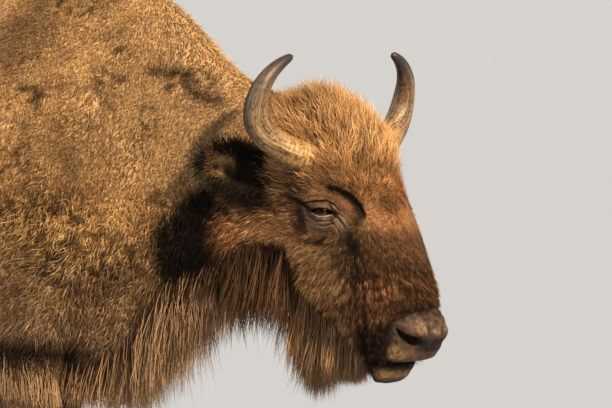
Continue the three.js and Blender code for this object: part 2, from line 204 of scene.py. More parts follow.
def curve(keys, at):
    """A smooth line through (place, value) keys that never overshoots them: a monotone cubic."""
    keys = np.asarray(keys, float)
    xs, ys = keys[np.argsort(keys[:, 0])].T
    slopes = np.diff(ys) / np.diff(xs)
    before, after = slopes[:-1], slopes[1:]
    total = np.where(before + after == 0, 1, before + after)
    inner = np.where(before * after > 0, 2 * before * after / total, 0)
    tangents = np.concatenate([slopes[:1], inner, slopes[-1:]])
    at = np.clip(at, xs[0], xs[-1])
    i = np.clip(np.searchsorted(xs, at) - 1, 0, len(xs) - 2)
    gap = xs[i + 1] - xs[i]
    return cubic(ys[i], ys[i + 1], tangents[i], tangents[i + 1], gap, (at - xs[i]) / gap)


def spline(points, at):
    """Points at shares `at` of the way along a Catmull-Rom line, its knots spaced by the root of the distances."""
    p = np.array(points, float)
    knots = np.concatenate([[0], np.cumsum(np.sqrt(np.linalg.norm(np.diff(p, axis=0), axis=1)))])
    gaps = np.diff(knots)[:, None]
    slopes = np.diff(p, axis=0) / gaps
    inner = (slopes[:-1] * gaps[1:] + slopes[1:] * gaps[:-1]) / (gaps[1:] + gaps[:-1])
    tangents = np.concatenate([slopes[:1], inner, slopes[-1:]])
    t = np.clip(at, 0, 1) * knots[-1]
    i = np.clip(np.searchsorted(knots, t) - 1, 0, len(p) - 2)
    return cubic(p[i], p[i + 1], tangents[i], tangents[i + 1], gaps[i], ((t - knots[i]) / gaps[i, 0])[:, None])


def angles_round(count):
    """Equal angles once round, as a row."""
    return np.linspace(0, 2 * np.pi, count, endpoint=False)[None, :]


def unit(vectors):
    return vectors / np.maximum(np.linalg.norm(vectors, axis=-1, keepdims=True), 1e-9)


def hashed(cells, seed):
    """Repeatable random numbers from 0 to 1 for whole-number cells: the coordinates times primes, then scrambled."""
    x, y, z = np.moveaxis(cells.astype(np.int64), -1, 0)
    h = (x * 73856093) ^ (y * 19349663) ^ (z * 83492791) ^ (seed * 2654435761)
    h = (h ^ (h >> 13)) * 1274126177 & 0x7FFFFFFF
    h = (h ^ (h >> 15)) * 668265263 & 0x7FFFFFFF
    return (h ^ (h >> 11)) % 100003 / 100003


def noise(points, cell, seed):
    """Smooth noise from -1 to 1: random values at the corners of cubes of this size, blended across each cube."""
    p = points / cell
    base = np.floor(p).astype(np.int64)
    t = p - base
    t = t * t * (3 - 2 * t)
    total = 0
    for corner in product((0, 1), repeat=3):
        weight = np.prod(np.where(corner, t, 1 - t), axis=-1)
        total = total + weight * hashed(base + np.array(corner), seed)
    return total * 2 - 1


def noise3(points, cell, seed):
    return np.stack([noise(points, cell, seed + k) for k in range(3)], -1)


def to_clump(points, cell, seed):
    """The way from each point to the nearest of a set of clump centres, one placed at random in each cube."""
    base = np.floor(points / cell).astype(np.int64)
    best = np.full(len(points), np.inf)
    way = np.zeros_like(points)
    for corner in product((-1, 0, 1), repeat=3):
        cells = base + np.array(corner)
        centre = (cells + np.stack([hashed(cells, seed + k) for k in range(3)], -1)) * cell
        to = centre - points
        far = (to ** 2).sum(-1)
        nearer = far < best
        best = np.where(nearer, far, best)
        way = np.where(nearer[:, None], to, way)
    return way


def path_distance(points, path):
    """The distance from each point to a broken line."""
    best = np.full(len(points), np.inf)
    for a, b in zip(np.array(path[:-1], float), np.array(path[1:], float)):
        t = np.clip((points - a) @ (b - a) / ((b - a) @ (b - a)), 0, 1)
        best = np.minimum(best, np.linalg.norm(points - a - t[:, None] * (b - a), axis=1))
    return best


# ---- surfaces as arrays ----


def egg(angle, half, along, back, round_along, round_back):
    """A point of an egg-shaped section: a superellipse with its own size and roundness on each side of its width."""
    c, s = np.cos(angle), np.sin(angle)
    power = 2 / np.where(s > 0, round_along, round_back)
    return half * np.sign(c) * np.abs(c) ** power, np.where(s > 0, along, back) * np.sign(s) * np.abs(s) ** power


def volume(points, faces):
    corners = points[faces[:, :3]]
    return np.einsum("ij,ij->", corners[:, 0], np.cross(corners[:, 1], corners[:, 2]))


def closed_loft(rings):
    """A closed tube: quads between neighbouring rings, and a fan from each end ring to its middle, facing outwards."""
    rows, ring = rings.shape[:2]
    points = np.concatenate([rings.reshape(-1, 3), rings[[0, -1]].mean(1)])
    row, col = np.meshgrid(np.arange(rows - 1), np.arange(ring), indexing="ij")
    a, b = row * ring + col, row * ring + (col + 1) % ring
    quads = np.stack([a, b, b + ring, a + ring], -1).reshape(-1, 4)
    first = np.arange(ring)
    after = (first + 1) % ring
    last = (rows - 1) * ring
    ends = np.full(ring, rows * ring)
    tris = np.concatenate([np.stack([after, first, ends], -1), np.stack([last + first, last + after, ends + 1], -1)])
    if volume(points - points.mean(0), quads) < 0:
        quads, tris = quads[:, ::-1], tris[:, ::-1]
    return points, quads, tris


def join(parts):
    """One set of points, quads and triangles from several."""
    points, *kinds = zip(*parts)
    starts = np.cumsum([0] + [len(each) for each in points])
    return np.concatenate(points), *(np.concatenate([faces + start for faces, start in zip(kind, starts)])
                                     for kind in kinds)


def new_mesh(name, points, *face_sets):
    """A smooth mesh from an array of points in metres and arrays of faces."""
    mesh = bpy.data.meshes.new(name)
    mesh.vertices.add(len(points))
    mesh.vertices.foreach_set("co", np.ascontiguousarray(points, np.float32).ravel())
    corners = np.concatenate([faces.ravel() for faces in face_sets]).astype(np.int32)
    sizes = np.concatenate([np.full(len(faces), faces.shape[1]) for faces in face_sets])
    mesh.loops.add(len(corners))
    mesh.loops.foreach_set("vertex_index", corners)
    mesh.polygons.add(len(sizes))
    mesh.polygons.foreach_set("loop_start", np.concatenate([[0], np.cumsum(sizes)[:-1]]).astype(np.int32))
    mesh.update(calc_edges=True)
    mesh.shade_smooth()
    return mesh


def add_piece(name, mesh, slot, material, *nodes):
    """A finished piece of the animal: it rides on the body and stands for these nodes."""
    piece = bpy.data.objects.new(name, mesh)
    bpy.context.scene.collection.objects.link(piece)
    mesh.materials.append(material)
    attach(piece, "root")
    if nodes:
        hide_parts(*nodes)


def paint(mesh, name, colours):
    """Stores a colour for each vertex, in linear light."""
    layer = mesh.color_attributes.new(name, "FLOAT_COLOR", "POINT")
    rgba = np.ones((len(mesh.vertices), 4), np.float32)
    rgba[:, :3] = colours
    layer.data.foreach_set("color", rgba.ravel())


def carry(mesh, name, values):
    """Stores a number for each vertex."""
    mesh.attributes.new(name, "FLOAT", "POINT").data.foreach_set("value", values.astype(np.float32))


def read_array(items, name, width=1, kind=np.float32):
    """A number, or a row of several, from each item of a mesh."""
    data = np.empty(len(items) * width, kind)
    items.foreach_get(name, data)
    return data.reshape(-1, width) if width > 1 else data


def read_points(mesh, what="co"):
    return read_array(mesh.vertices, what, 3).astype(float)


def read_edges(mesh):
    return read_array(mesh.edges, "vertices", 2, np.int32)


def read_corners(mesh):
    """The vertex at each corner of each face."""
    return read_array(mesh.loops, "vertex_index", kind=np.int32)


def read_ears(mesh):
    """1 at each vertex of the ears, 0 elsewhere."""
    return read_array(mesh.attributes["Ear"].data, "value")


def smoothed(points, edges, rounds, share=0.5):
    """Moves each point part of the way to the middle of its neighbours, several times."""
    a, b = edges.T
    count = np.bincount(edges.ravel(), minlength=len(points))[:, None]
    for _ in range(rounds):
        total = np.stack([np.bincount(a, points[b, k], len(points)) + np.bincount(b, points[a, k], len(points))
                          for k in range(3)], -1)
        points = points + share * (total / np.maximum(count, 1) - points)
    return points


# ---- the skin ----


def trunk_surface():
    """Egg sections across X from the trunk tables, bent sideways along the neck."""
    x = np.linspace(BACK[0][0], BACK[-1][0], 170)[:, None]
    angle = angles_round(96)
    top, bottom = curve(BACK, x), curve(BELLY, x)
    level = np.clip(curve(WIDEST, x), bottom + 10, top - 10)
    y, z = egg(angle, curve(HALF_WIDTH, x), top - level, level - bottom, curve(ROUND_ABOVE, x), curve(ROUND_BELOW, x))
    return closed_loft(from_body(np.stack([x + 0 * y, curve(BEND, x) + y, level + z], -1)))


def head_section(up):
    """The head's section at a level: its middle, its reach in front and behind, half width and roundness."""
    front, back = curve(FACE, up), curve(NAPE, up)
    middle = np.clip(curve(HEAD_WIDEST, up), back + 8, front - 8)
    return middle, front - middle, middle - back, curve(HEAD_HALF, up), curve(HEAD_ROUND, up)


def head_surface():
    """Egg sections across the head's height from the head tables."""
    up = np.linspace(FACE[0][0], FACE[-1][0], 90)[:, None]
    angle = angles_round(96)
    middle, front, back, half, around = head_section(up)
    across, forwards = egg(angle, half, front, back, around, 2)
    return closed_loft(from_head(np.stack([middle + forwards, across, up + 0 * across], -1)))


def leg_surface(foot):
    """Ellipses down a leg, the foot carried forwards by the stride, more and more down the leg."""
    table, side, stride = LEG_TABLES[foot]
    t = np.array(table, float)
    top = t[0, 2]
    z = np.linspace(top, t[-1, 2], 110)[:, None]
    x, y, deep, wide = (curve(t[:, [2, k]], z) for k in (0, 1, 3, 4))
    x = x + stride * np.clip((top - z) / (top - HOOF_HEIGHT), 0, 1) ** STRIDE_POWER
    angle = angles_round(40)
    points = [x + deep / 2 * np.sin(angle), side * y + wide / 2 * np.cos(angle), z + 0 * angle]
    return closed_loft(from_body(np.stack(points, -1)))


def tube_rings(line, radii, ring):
    """Round sections square to a line of points, their sideways axis kept as level as it can be."""
    along = unit(np.gradient(line, axis=0))
    first = unit(np.cross(along, [0.02, 1.0, 0.05]))
    second = np.cross(along, first)
    angle = angles_round(ring)[0]
    return (line[:, None] + radii[..., None] * (np.cos(angle)[:, None] * first[:, None]
                                                + np.sin(angle)[:, None] * second[:, None]))


def tail_surface():
    """Round sections along the tail's line."""
    table, ring = np.array(TAIL, float), 20
    share = np.linspace(0, 1, 60)
    line = spline(np.column_stack([table[:, 0], 0 * table[:, 0], table[:, 1]]), share)
    radii = np.interp(share, np.linspace(0, 1, len(table)), table[:, 2] / 2)
    return closed_loft(tube_rings(from_body(line), np.repeat(radii[:, None], ring, 1) * MM, ring))


def ear_axes(side):
    """An ear's axes in head axes: along it, across it, and out of its hollow."""
    flip = np.array([1, side, 1])
    along = unit((EAR_TIP - EAR_ROOT) * flip)
    across = unit(np.cross(along, np.array([1, 0.5, -0.1]) * flip))
    return along, across, np.cross(across, along)


def ear_surface(side):
    """A leaf along the ear's length: flat ovals whose edges are bent forwards by the square of the way across."""
    along, across, front = ear_axes(side)
    length = np.linalg.norm(EAR_TIP - EAR_ROOT)
    t = np.linspace(-0.2, 1, 46)[:, None]
    blade = curve([(-0.2, 0.4), (0, 0.56), (0.2, 0.84), (0.5, 1), (0.75, 0.84), (0.92, 0.48), (1, 0.12)], t)
    angle = angles_round(44)
    way_across = blade * np.cos(angle)
    bent = EAR_HOLLOW * (way_across ** 2 / blade) * (1.25 - t)
    thick = EAR_THICK / 2 * np.sin(angle) * (0.5 + 0.5 * blade)
    points = (EAR_ROOT * [1, side, 1] + (length * t)[..., None] * along
              + (EAR_WIDTH / 2 * way_across)[..., None] * across + (bent + thick)[..., None] * front)
    return closed_loft(from_head(points))


# Folds round an eye, as lines in the plane it looks out of: forwards and up from the eye, then depth and width.
# A negative depth is a ridge.
EYE_FOLDS = (
    ([(-54, 14), (-25, 22), (7, 27), (27, 21), (42, 6)], 5.0, 2.6),
    ([(-42, 30), (-12, 38), (14, 37)], 2.2, 2.0),
    ([(14, 54), (42, 48), (64, 37), (82, 21), (93, 2)], 12.0, 7.0),
    ([(-49, -23), (-22, -33), (7, -31), (28, -22)], 3.4, 2.4),
    ([(-40, -13), (-15, -22), (12, -19), (30, -9)], 3.0, 1.9),
    ([(-36, -40), (-8, -47), (20, -42)], 2.2, 2.6),
    ([(-84, 22), (-58, 12), (-31, 1)], 8.0, 4.8),
    ([(25, -1), (42, -12), (58, -30)], 3.6, 2.6),
    ([(34, 4), (52, -6), (68, -24)], 2.6, 2.2),
    ([(18, -16), (34, -28), (44, -46)], 2.4, 2.2),
    ([(24, 3), (36, 4), (50, -4)], 2.0, 1.8),
    ([(-60, -30), (-50, -46), (-30, -58)], 2.4, 2.6),
    ([(-36, 40), (2, 47), (36, 38), (60, 14)], -7.0, 11.0),
    ([(-34, -28), (0, -38), (34, -28)], -2.4, 5.0),
    ([(30, 12), (44, 2), (50, -12)], -2.4, 5.0),
)
# The almond between the lids, the lids' thickness, and the eyeball's place behind the eye's own.
EYE_OPENING = {"middle": -3.0, "half": 27.5, "above": 10.5, "below": 8.5}
LID = {"upper": 5.6, "lower": 2.8}
EYE_BALL = {"radius": 25.0, "back": -4.0, "in": -3.0}


def eye_plane(local, side):
    """A point's place as an eye on this side sees it: forwards and up in the eye's plane, and out along its look."""
    from_eye = local - EYE_PLACE * [1, side, 1]
    look = EYE_LOOK * [1, side, 1]
    forwards = np.array([EYE_LOOK[1], -side * EYE_LOOK[0], 0])
    a, out = from_eye @ forwards, from_eye @ look
    return a, from_eye[..., 2] - LID_SLOPE * a, out, look


def upper_lid(q):
    """The level of the upper lid's rim, from -1 at the rear corner of the eye to 1 at the front one."""
    return EYE_OPENING["above"] * np.maximum(1 - q ** 2, 0) ** 0.72 * (1 + 0.18 * q)


def over_ball(ball, across):
    """How far out a ball of this radius comes at a distance from the eye's axis, held level beyond its shoulder."""
    return np.sqrt(ball ** 2 - np.minimum(across, 0.86 * ball) ** 2) + EYE_BALL["in"]


def opening(a, b):
    """How far a point lies inside the almond between the lids, less than 0 outside it, and whether the upper lid is
    the nearer one."""
    q = (a - EYE_OPENING["middle"]) / EYE_OPENING["half"]
    above = upper_lid(q) - b
    below = b + EYE_OPENING["below"] * np.maximum(1 - q ** 2, 0) ** 0.85 * (1 - 0.15 * q)
    beyond = np.maximum(np.abs(q) - 1, 0) * EYE_OPENING["half"]
    return np.minimum(above, below) - beyond, above < below


def folds_at(a, b):
    """The depth of the folds at points of the eye's plane: each fold is a bell across its line."""
    plane = np.column_stack([a, b])
    return sum(depth * bell(path_distance(plane, path), width) for path, depth, width in EYE_FOLDS)


def carve_eye(local, side):
    """Lids and folds. Round the opening the skin lies over the eyeball by the lid's thickness, and comes back to the
    face within a lid's width. Points near the edge of the opening are drawn to it, and those inside go behind."""
    a, b, out, look = eye_plane(local, side)
    near = (np.hypot(a, b) < 110) & (out > -45) & (local[:, 1] * side > 0)
    a, b, out = a[near], b[near], out[near]
    inside, upper = opening(a, b)
    drawn = np.where(np.abs(inside) < 0.6, np.where(upper, inside, -inside), 0)
    new_out = out + 8.5 * bell(np.hypot(a, b), 46)
    across = np.hypot(a - EYE_BALL["back"], b)
    over = over_ball(EYE_BALL["radius"] + np.where(b > 0, LID["upper"], LID["lower"]), across)
    lid = step(-19, -5, inside)
    new_out = lid * over + (1 - lid) * new_out - folds_at(a, b) + 0.9 * bell(inside + 2.2, 1.6)
    behind = np.sqrt(np.maximum((EYE_BALL["radius"] - 4) ** 2 - across ** 2, 0)) + EYE_BALL["in"] - 2
    new_out = new_out + step(0.0, 1.2, inside - np.abs(drawn)) * (behind - new_out)
    carved = local.copy()
    carved[near] += (new_out - out)[:, None] * look + drawn[:, None] * np.array([0, 0, 1.0])
    return carved


# Lines of the muzzle, left side in head axes: the nostril, a comma from its rear top to its front, and the creases
# above it, beside it, on the cheek and on the chin.
NOSTRIL = [(231, 66, -430), (240, 64, -441), (250, 60, -450), (266, 55, -458), (281, 49, -461)]
NOSE_CREASE = [(240, 58, -394), (262, 49, -388), (276, 34, -384), (284, 12, -379), (284, 0, -378)]
SECOND_CREASE = [(240, 60, -404), (262, 52, -400), (284, 36, -399), (298, 14, -402)]
NOSE_GROOVE = [(272, 34, -392), (288, 28, -414), (292, 22, -442)]
CHEEK_CREASE = [(150, 78, -430), (140, 78, -462), (126, 76, -492)]
CHIN_RIDGE = [(120, 52, -545), (170, 46, -545), (205, 30, -545)]
NOSTRIL_CORNER = (236, 62, -404)
NOSTRIL_WING = (266, 52, -416)
MOUTH = [(100, -486), (125, -497), (160, -505), (205, -512), (245, -515), (300, -514)]  # forwards and up


def mirror(local):
    """Points of the head folded over to its left side."""
    return local * [1, 0, 1] + np.abs(local[:, 1:2]) * [0, 1, 0]


def bell(distance, reach):
    """1 at no distance, falling off over this reach."""
    return np.exp(-(distance / reach) ** 2)


def distance_to(points, place, reach=1):
    """How far points lie from a place, in shares of a reach, which may differ each way."""
    return np.linalg.norm((points - place) / reach, axis=1)


def nostril_width(forwards):
    """Half the width of the nostril along its line."""
    return 5.0 + 7.5 * np.clip((forwards - 232) / 24, 0, 1)


def mouth_level(forwards):
    return curve(MOUTH, forwards)


def carve_muzzle(local):
    """Nostrils, the wings round them, the mouth, the lips and the wrinkles over the nose, as offsets along the
    outward direction of the head's section."""
    mirrored = mirror(local)
    f, o, u = mirrored.T
    line = path_distance(mirrored, NOSTRIL)
    middle, front, _, half, _ = head_section(u)
    outward = unit(np.stack([(f - middle) / np.maximum(front, 30) ** 2, local[:, 1] / half ** 2, 0 * f], -1) * 900)
    hole = nostril_width(f)
    above = step(-8, 10, u - curve(np.array(NOSTRIL)[:, [0, 2]], f))
    push = (1.0 + 5.5 * above) * bell(line - hole - 9, 9.0) * step(-380, -400, u)
    push -= 38 * step(hole + 1.0, hole - 6.0, line)
    over_mouth, in_mouth = u - mouth_level(f), step(98, 130, f)
    push -= 12.0 * bell(over_mouth, 4.0) * in_mouth
    push += 3.0 * bell(over_mouth - 13, 8) * in_mouth
    push += 3.5 * bell(over_mouth + 17, 10) * in_mouth
    push -= 3.0 * bell(o, 4.5) * step(-440, -455, u) * step(-512, -500, u) * step(200, 230, f)
    for path, depth, reach in ((NOSE_CREASE, 6.0, 4.5), (SECOND_CREASE, 2.2, 3.5), (NOSE_GROOVE, 4.0, 6.5),
                               (CHEEK_CREASE, 4.0, 9), (CHIN_RIDGE, -2.5, 12)):
        push -= depth * bell(path_distance(mirrored, path), reach)
    push -= 5.0 * bell(distance_to(mirrored, NOSTRIL_CORNER), 11)
    push += 5.0 * bell(distance_to(mirrored, NOSTRIL_WING), 20)
    return local + (push * step(-360, -400, u))[:, None] * outward


# Bones and muscles under the coat: forwards and up on both sides, then the height and reach of each swelling.
BODY_FORMS = ((-560, 1230, -20, 105), (-735, 1345, 16, 60), (-905, 1060, 16, 150), (-660, 930, -14, 70),
              (420, 1130, 16, 150), (330, 930, 14, 120), (175, 1060, -14, 90), (245, 800, 10, 55),
              (-1085, 1230, 10, 60), (640, 1180, -10, 110), (-250, 1080, 6, 200))
NECK_FOLD = [(625, 1405), (690, 1396), (733, 1350), (790, 1331)]  # forwards and up
RIBS = {"height": 2.2, "apart": 74, "slant": 0.25}
NECK_STARTS = 760  # no swellings forwards of this


def carve_body(points, normals):
    """Shoulder, ribs, hollow flank, hip and thigh: bells pushed along the normal on the sides of the trunk."""
    x, _, z = to_body(points).T
    push = sum(high * np.exp(-((x - forwards) ** 2 + (z - up) ** 2) / reach ** 2)
               for forwards, up, high, reach in BODY_FORMS)
    push = push + RIBS["height"] * np.sin(2 * np.pi * (x + RIBS["slant"] * z) / RIBS["apart"]) * step(
        -600, -450, x) * step(100, -50, x) * step(830, 920, z) * step(1340, 1240, z)
    push = push * (x < NECK_STARTS) - 14 * bell(path_distance(np.column_stack([x, z]), NECK_FOLD), 17)
    return points + (push * np.abs(normals[:, 1]))[:, None] * normals * MM


def onto_head(points):
    """Carries points along their own section to the head's outline, but leaves those near the neck and crown."""
    local = to_head(points)
    f, o, u = local.T
    middle, front, back, half, around = head_section(u)
    forwards = f > middle
    power = np.where(forwards, around, 2)
    s, c = np.abs(f - middle) / np.where(forwards, front, back), np.abs(o) / half
    radius = np.maximum((s ** power + c ** power) ** (1 / power), 0.2)
    keep = (np.maximum(step(-95, -45, f), step(-290, -330, u)) * step(88, 60, u) * step(-567, -553, u)
            * step(1.45, 1.25, radius) * step(0.55, 0.7, radius))
    scale = 1 + keep * (1 / radius - 1)
    return from_head(np.stack([middle + (f - middle) * scale, o * scale, u], -1))


def refine(mesh, chosen):
    """Halves every edge between chosen points."""
    work = bmesh.new()
    work.from_mesh(mesh)
    edges = [edge for edge in work.edges if chosen[edge.verts[0].index] and chosen[edge.verts[1].index]]
    bmesh.ops.subdivide_edges(work, edges=edges, cuts=1, use_grid_fill=True)
    work.to_mesh(mesh)
    work.free()


def swap_points(mesh, points):
    mesh.vertices.foreach_set("co", np.ascontiguousarray(points, np.float32).ravel())
    mesh.update()


EYE_HOLLOW = EYE_PLACE + 14 * EYE_LOOK  # the middle of what is refined round an eye
NOSTRIL_MIDDLE = (256, 62, -446)
# Rounds of refining the head's skin: everywhere or not, then how far round the eyes and round the nostrils.
REFINING = ((True, 0, 0), (False, 105, 175), (False, 62, 60), (False, 36, 0))


def make_skin(voxel):
    """Joins trunk, head, legs and tail, remeshes them as one closed skin, refines it on the head, lays the head's
    points on its outline, and carves the eyes, nose and mouth. The ears are added last as leaves of the same mesh."""
    parts = [trunk_surface(), head_surface(), tail_surface()] + [leg_surface(foot) for foot in FEET]
    rough = bpy.data.objects.new("rough", new_mesh("rough", *join(parts)))
    bpy.context.scene.collection.objects.link(rough)
    remesh = rough.modifiers.new("one skin", "REMESH")
    remesh.mode = "VOXEL"
    remesh.voxel_size = voxel * MM
    depsgraph = bpy.context.evaluated_depsgraph_get()
    mesh = bpy.data.meshes.new_from_object(rough.evaluated_get(depsgraph))
    bpy.data.objects.remove(rough)
    swap_points(mesh, smoothed(read_points(mesh), read_edges(mesh), 5))
    swap_points(mesh, carve_body(read_points(mesh), read_points(mesh, "normal")))
    for everywhere, round_eye, round_nose in REFINING:
        local = mirror(to_head(read_points(mesh)))
        near = (distance_to(local, EYE_HOLLOW) < round_eye) | (distance_to(local, NOSTRIL_MIDDLE) < round_nose)
        refine(mesh, (local[:, 0] > -60) & (local[:, 2] < 90) & (everywhere | near))
        swap_points(mesh, onto_head(smoothed(read_points(mesh), read_edges(mesh), 2)))
    local = to_head(read_points(mesh))
    for side in SIDES.values():
        local = carve_eye(local, side)
    local = carve_muzzle(local)
    points = from_head(local)
    sizes, corners = read_array(mesh.polygons, "loop_total", kind=np.int32), read_corners(mesh)
    starts = np.concatenate([[0], np.cumsum(sizes)[:-1]])
    face_sets = [corners[starts[sizes == n][:, None] + np.arange(n)] for n in np.unique(sizes)]
    bpy.data.meshes.remove(mesh)
    ears = join([ear_surface(side) for side in SIDES.values()])
    face_sets += [faces + len(points) for faces in ears[1:]]
    skin = new_mesh("skin", np.concatenate([points, ears[0]]), *face_sets)
    carry(skin, "Ear", np.repeat([0.0, 1.0], [len(points), len(ears[0])]))
    return skin


# ---- markings: the same colours for skin and coat ----

SHADES = {name: srgb(code) for name, code in {
    "golden": "#e2b27a", "wool": "#d4ad7d", "tan": "#c29966", "brown": "#7d6044", "face": "#a87a52", "dark": "#583c2a",
    "darkest": "#170f0a", "mane": "#bd9a76", "beard": "#c8a27c", "muzzle": "#4c3b2e", "lid": "#5c4736",
    "rim": "#94806c", "wrinkle": "#8c7662", "lip": "#806641", "ear": "#b48c60", "leg": "#4d3624",
    "throat": "#5f4731",
}.items()}
JAW_LINE = [(-150, 0, -325), (-107, 0, -360), (-60, 0, -394), (-10, 0, -428), (39, 0, -458), (94, 0, -497)]
# Patches of dark hair round an eye, as lines in its plane with their half width; the second and third follow the brow
# fold above the front corner and are painted shade under the brow.
DARK_HAIR_AND_BROW_SHADE = (([(-66, -8), (-58, -62)], 13), ([(16, 55), (42, 50), (64, 39), (82, 22)], 7),
             ([(84, 20), (90, 2), (84, -14)], 9), ([(66, -40), (82, -70)], 12), ([(-92, 26), (-62, 14)], 9),
             ([(-38, -72), (-12, -70), (8, -62)], 7), ([(-82, 44), (-58, 68)], 8))
# Where the wool opens in pits, painted near-black as the shade inside them: forwards, up, and how far the patch reaches
# each way.
PITS = ((537, 1410, 45, 105), (335, 1448, 55, 30), (345, 1330, 50, 60), (620, 1270, 38, 75), (300, 1200, 90, 45),
        (700, 1378, 88, 36), (450, 1560, 90, 30), (660, 1080, 40, 60))
# Where the bare skin of the muzzle begins: forwards, read down the head.
MUZZLE_EDGE = [(-374, 305), (-380, 286), (-388, 262), (-400, 240), (-414, 223), (-437, 211), (-470, 207),
               (-500, 196), (-512, 190)]
# Paler places of the muzzle, as a middle and a reach in head axes: the lip, and painted highlights on the side and the
# front of the nose.
PALE_LIP = ((226, 56, -486), (52, 60, 30))
NOSE_HIGHLIGHT = ((276, 34, -425), (34, 40, 32))
NOSE_FRONT_HIGHLIGHT = ((296, 0, -437), (26, 27, 14))


def shade_of(name):
    """A colour by its name among the shades or by its code."""
    return SHADES[name] if name in SHADES else srgb(name)


def plain(name, count):
    return np.tile(shade_of(name), (count, 1))


def blend(base, other, weight):
    return base + (other - base) * np.clip(weight, 0, 1)[:, None]


def dyed(colour, *layers):
    """The colour with shades laid over it in turn, each by its weight."""
    for name, weight in layers:
        colour = blend(colour, shade_of(name), weight)
    return colour


def jaw_distance(local):
    """How far from the jaw's line a point lies, seen from the side."""
    return path_distance(local * [1, 0, 1], JAW_LINE)


def head_part(body):
    """How far a point belongs to the head: 1 in front of the head's slanting cut."""
    f, _, u = to_head(from_body(body)).T
    return step(-60, 30, 0.98 * (f + 172) - 0.2 * u)


def body_markings(body):
    """Brown behind, tan and woolly in front and above, with painted shade: the head's shadow on the neck, the neck
    fold, under the lower edge of the shoulder's wool and in pits of the wool.
    """
    x, y, z = body.T
    patch = noise(body, 190, 31) * 0.6 + noise(body, 70, 37) * 0.4
    front = step(-350, 250, x)
    colour = dyed(plain("brown", len(body)), ("tan", front * step(820, 1050, z)),
                  ("wool", front * step(1080, 1350, z) * (0.6 + 0.5 * patch)),
                  ("wool", step(150, 350, x) * step(1060, 900, z) * step(740, 830, z) * 0.55),
                  ("dark", (0.25 + 0.45 * front) * step(0.3, 0.85, patch + 0.35)))
    colour = colour * (1 + 0.38 * noise(body * [1, 1, 0.6], 120, 33) + 0.3 * noise(body, 38, 34))[:, None]
    colour = dyed(colour, ("wool", step(480, 620, x) * step(1080, 1180, z) * 0.7),
                  ("mane", step(300, 380, x) * step(860, 800, z) * 0.9),
                  ("throat", step(600, 700, x) * step(1010, 930, z) * 0.8),
                  ("leg", step(800, 640, z) * step(640, 480, x)),
                  ("dark", step(-1172, -1190, x) * 0.9))
    # painted shadow of the head on the neck: a near-black patch behind the jaw, on both sides
    head_shadow_on_neck = np.hypot((x - 762 - 0.3 * (z - 1015)) / 112, (z - 1015) / 122)
    colour = blend(colour, SHADES["darkest"] * 0.3, 0.98 * step(1.1, 0.75, head_shadow_on_neck + 0.14 * patch))
    # painted shade in the neck fold
    fold = path_distance(np.column_stack([x, z]), NECK_FOLD)
    # painted shade under the lower edge of the shoulder's wool, near the belly
    under = z - 760 - 16 * noise(body, 60, 39)
    colour = dyed(colour, ("darkest", 0.7 * bell(fold, 15) * step(0, 20, np.abs(y - curve(BEND, x)))),
                  ("darkest", 0.95 * bell(under, 32) * step(180, 260, x) * step(500, 440, x)))
    # painted shade: near-black cracks where the wool opens, within the pits' zones
    flat = body * [1, 0.5, 0.8]
    crack = np.maximum(step(0.15, 0.5, noise(flat, 12, 35) + 0.5 * noise(body, 26, 36)),
                       0.8 * step(0.13, 0.04, np.abs(noise(flat, 30, 38))))
    for forwards, up, long, high in PITS:
        zone = step(1.15, 0.6, np.hypot((x - forwards) / long, (z - up) / high))
        colour = dyed(colour, ("darkest", 0.78 * zone * crack))
    return colour


def eye_markings(head, local, side):
    """Dark hair round an eye and painted shade under its brow, its lids, wrinkles and pale rim, painted shade in the
    folds and the opening, and darker hair with painted shade behind the ear.
    """
    a, b, out, _ = eye_plane(local, side)
    plane = np.column_stack([a, b])
    seen = step(-60, -20, out) * step(0, 20, side * local[:, 1])
    inside, upper = opening(a, b)
    socket = (0.7 - 0.35 * step(5, 20, b)) * step(1.2, 0.85, np.hypot(a / 82, (b - 4) / 60))
    # the patches along the brow fold are painted shade under the brow
    hairs = [("darkest", 0.85 * step(width + 8, width - 7, path_distance(plane, path)) * seen)
             for path, width in DARK_HAIR_AND_BROW_SHADE]
    # behind the ear: darker hair there, and painted shade of the ear and head
    behind_ear = distance_to(local, (-150, side * 104, -125))
    return dyed(head, ("dark", socket * seen), *hairs,
                ("lid", step(-26, -12, inside) * seen),
                ("wrinkle", 0.55 * step(1, 0.5, np.hypot((a - 48) / 26, (b + 24) / 28)) * seen),
                ("wrinkle", 0.5 * step(1, 0.5, np.hypot((a + 6) / 42, (b + 26) / 18)) * seen),
                ("rim", 0.8 * step(-3.8, -2.6, inside) * ~upper * seen),
                # the upper lid's rim darkened, partly its own dark margin and partly painted shade, and painted shade
                # in the opening where the skin turns in
                ("darkest", (step(-1.6, -0.6, inside) * upper + step(0.2, 1.0, inside)) * seen),
                # painted shade in the folds round the eye, deeper folds darker
                ("darkest", 0.85 * step(0.8, 3.5, folds_at(a, b)) * seen),
                ("darkest", 0.8 * step(72, 38, behind_ear)))


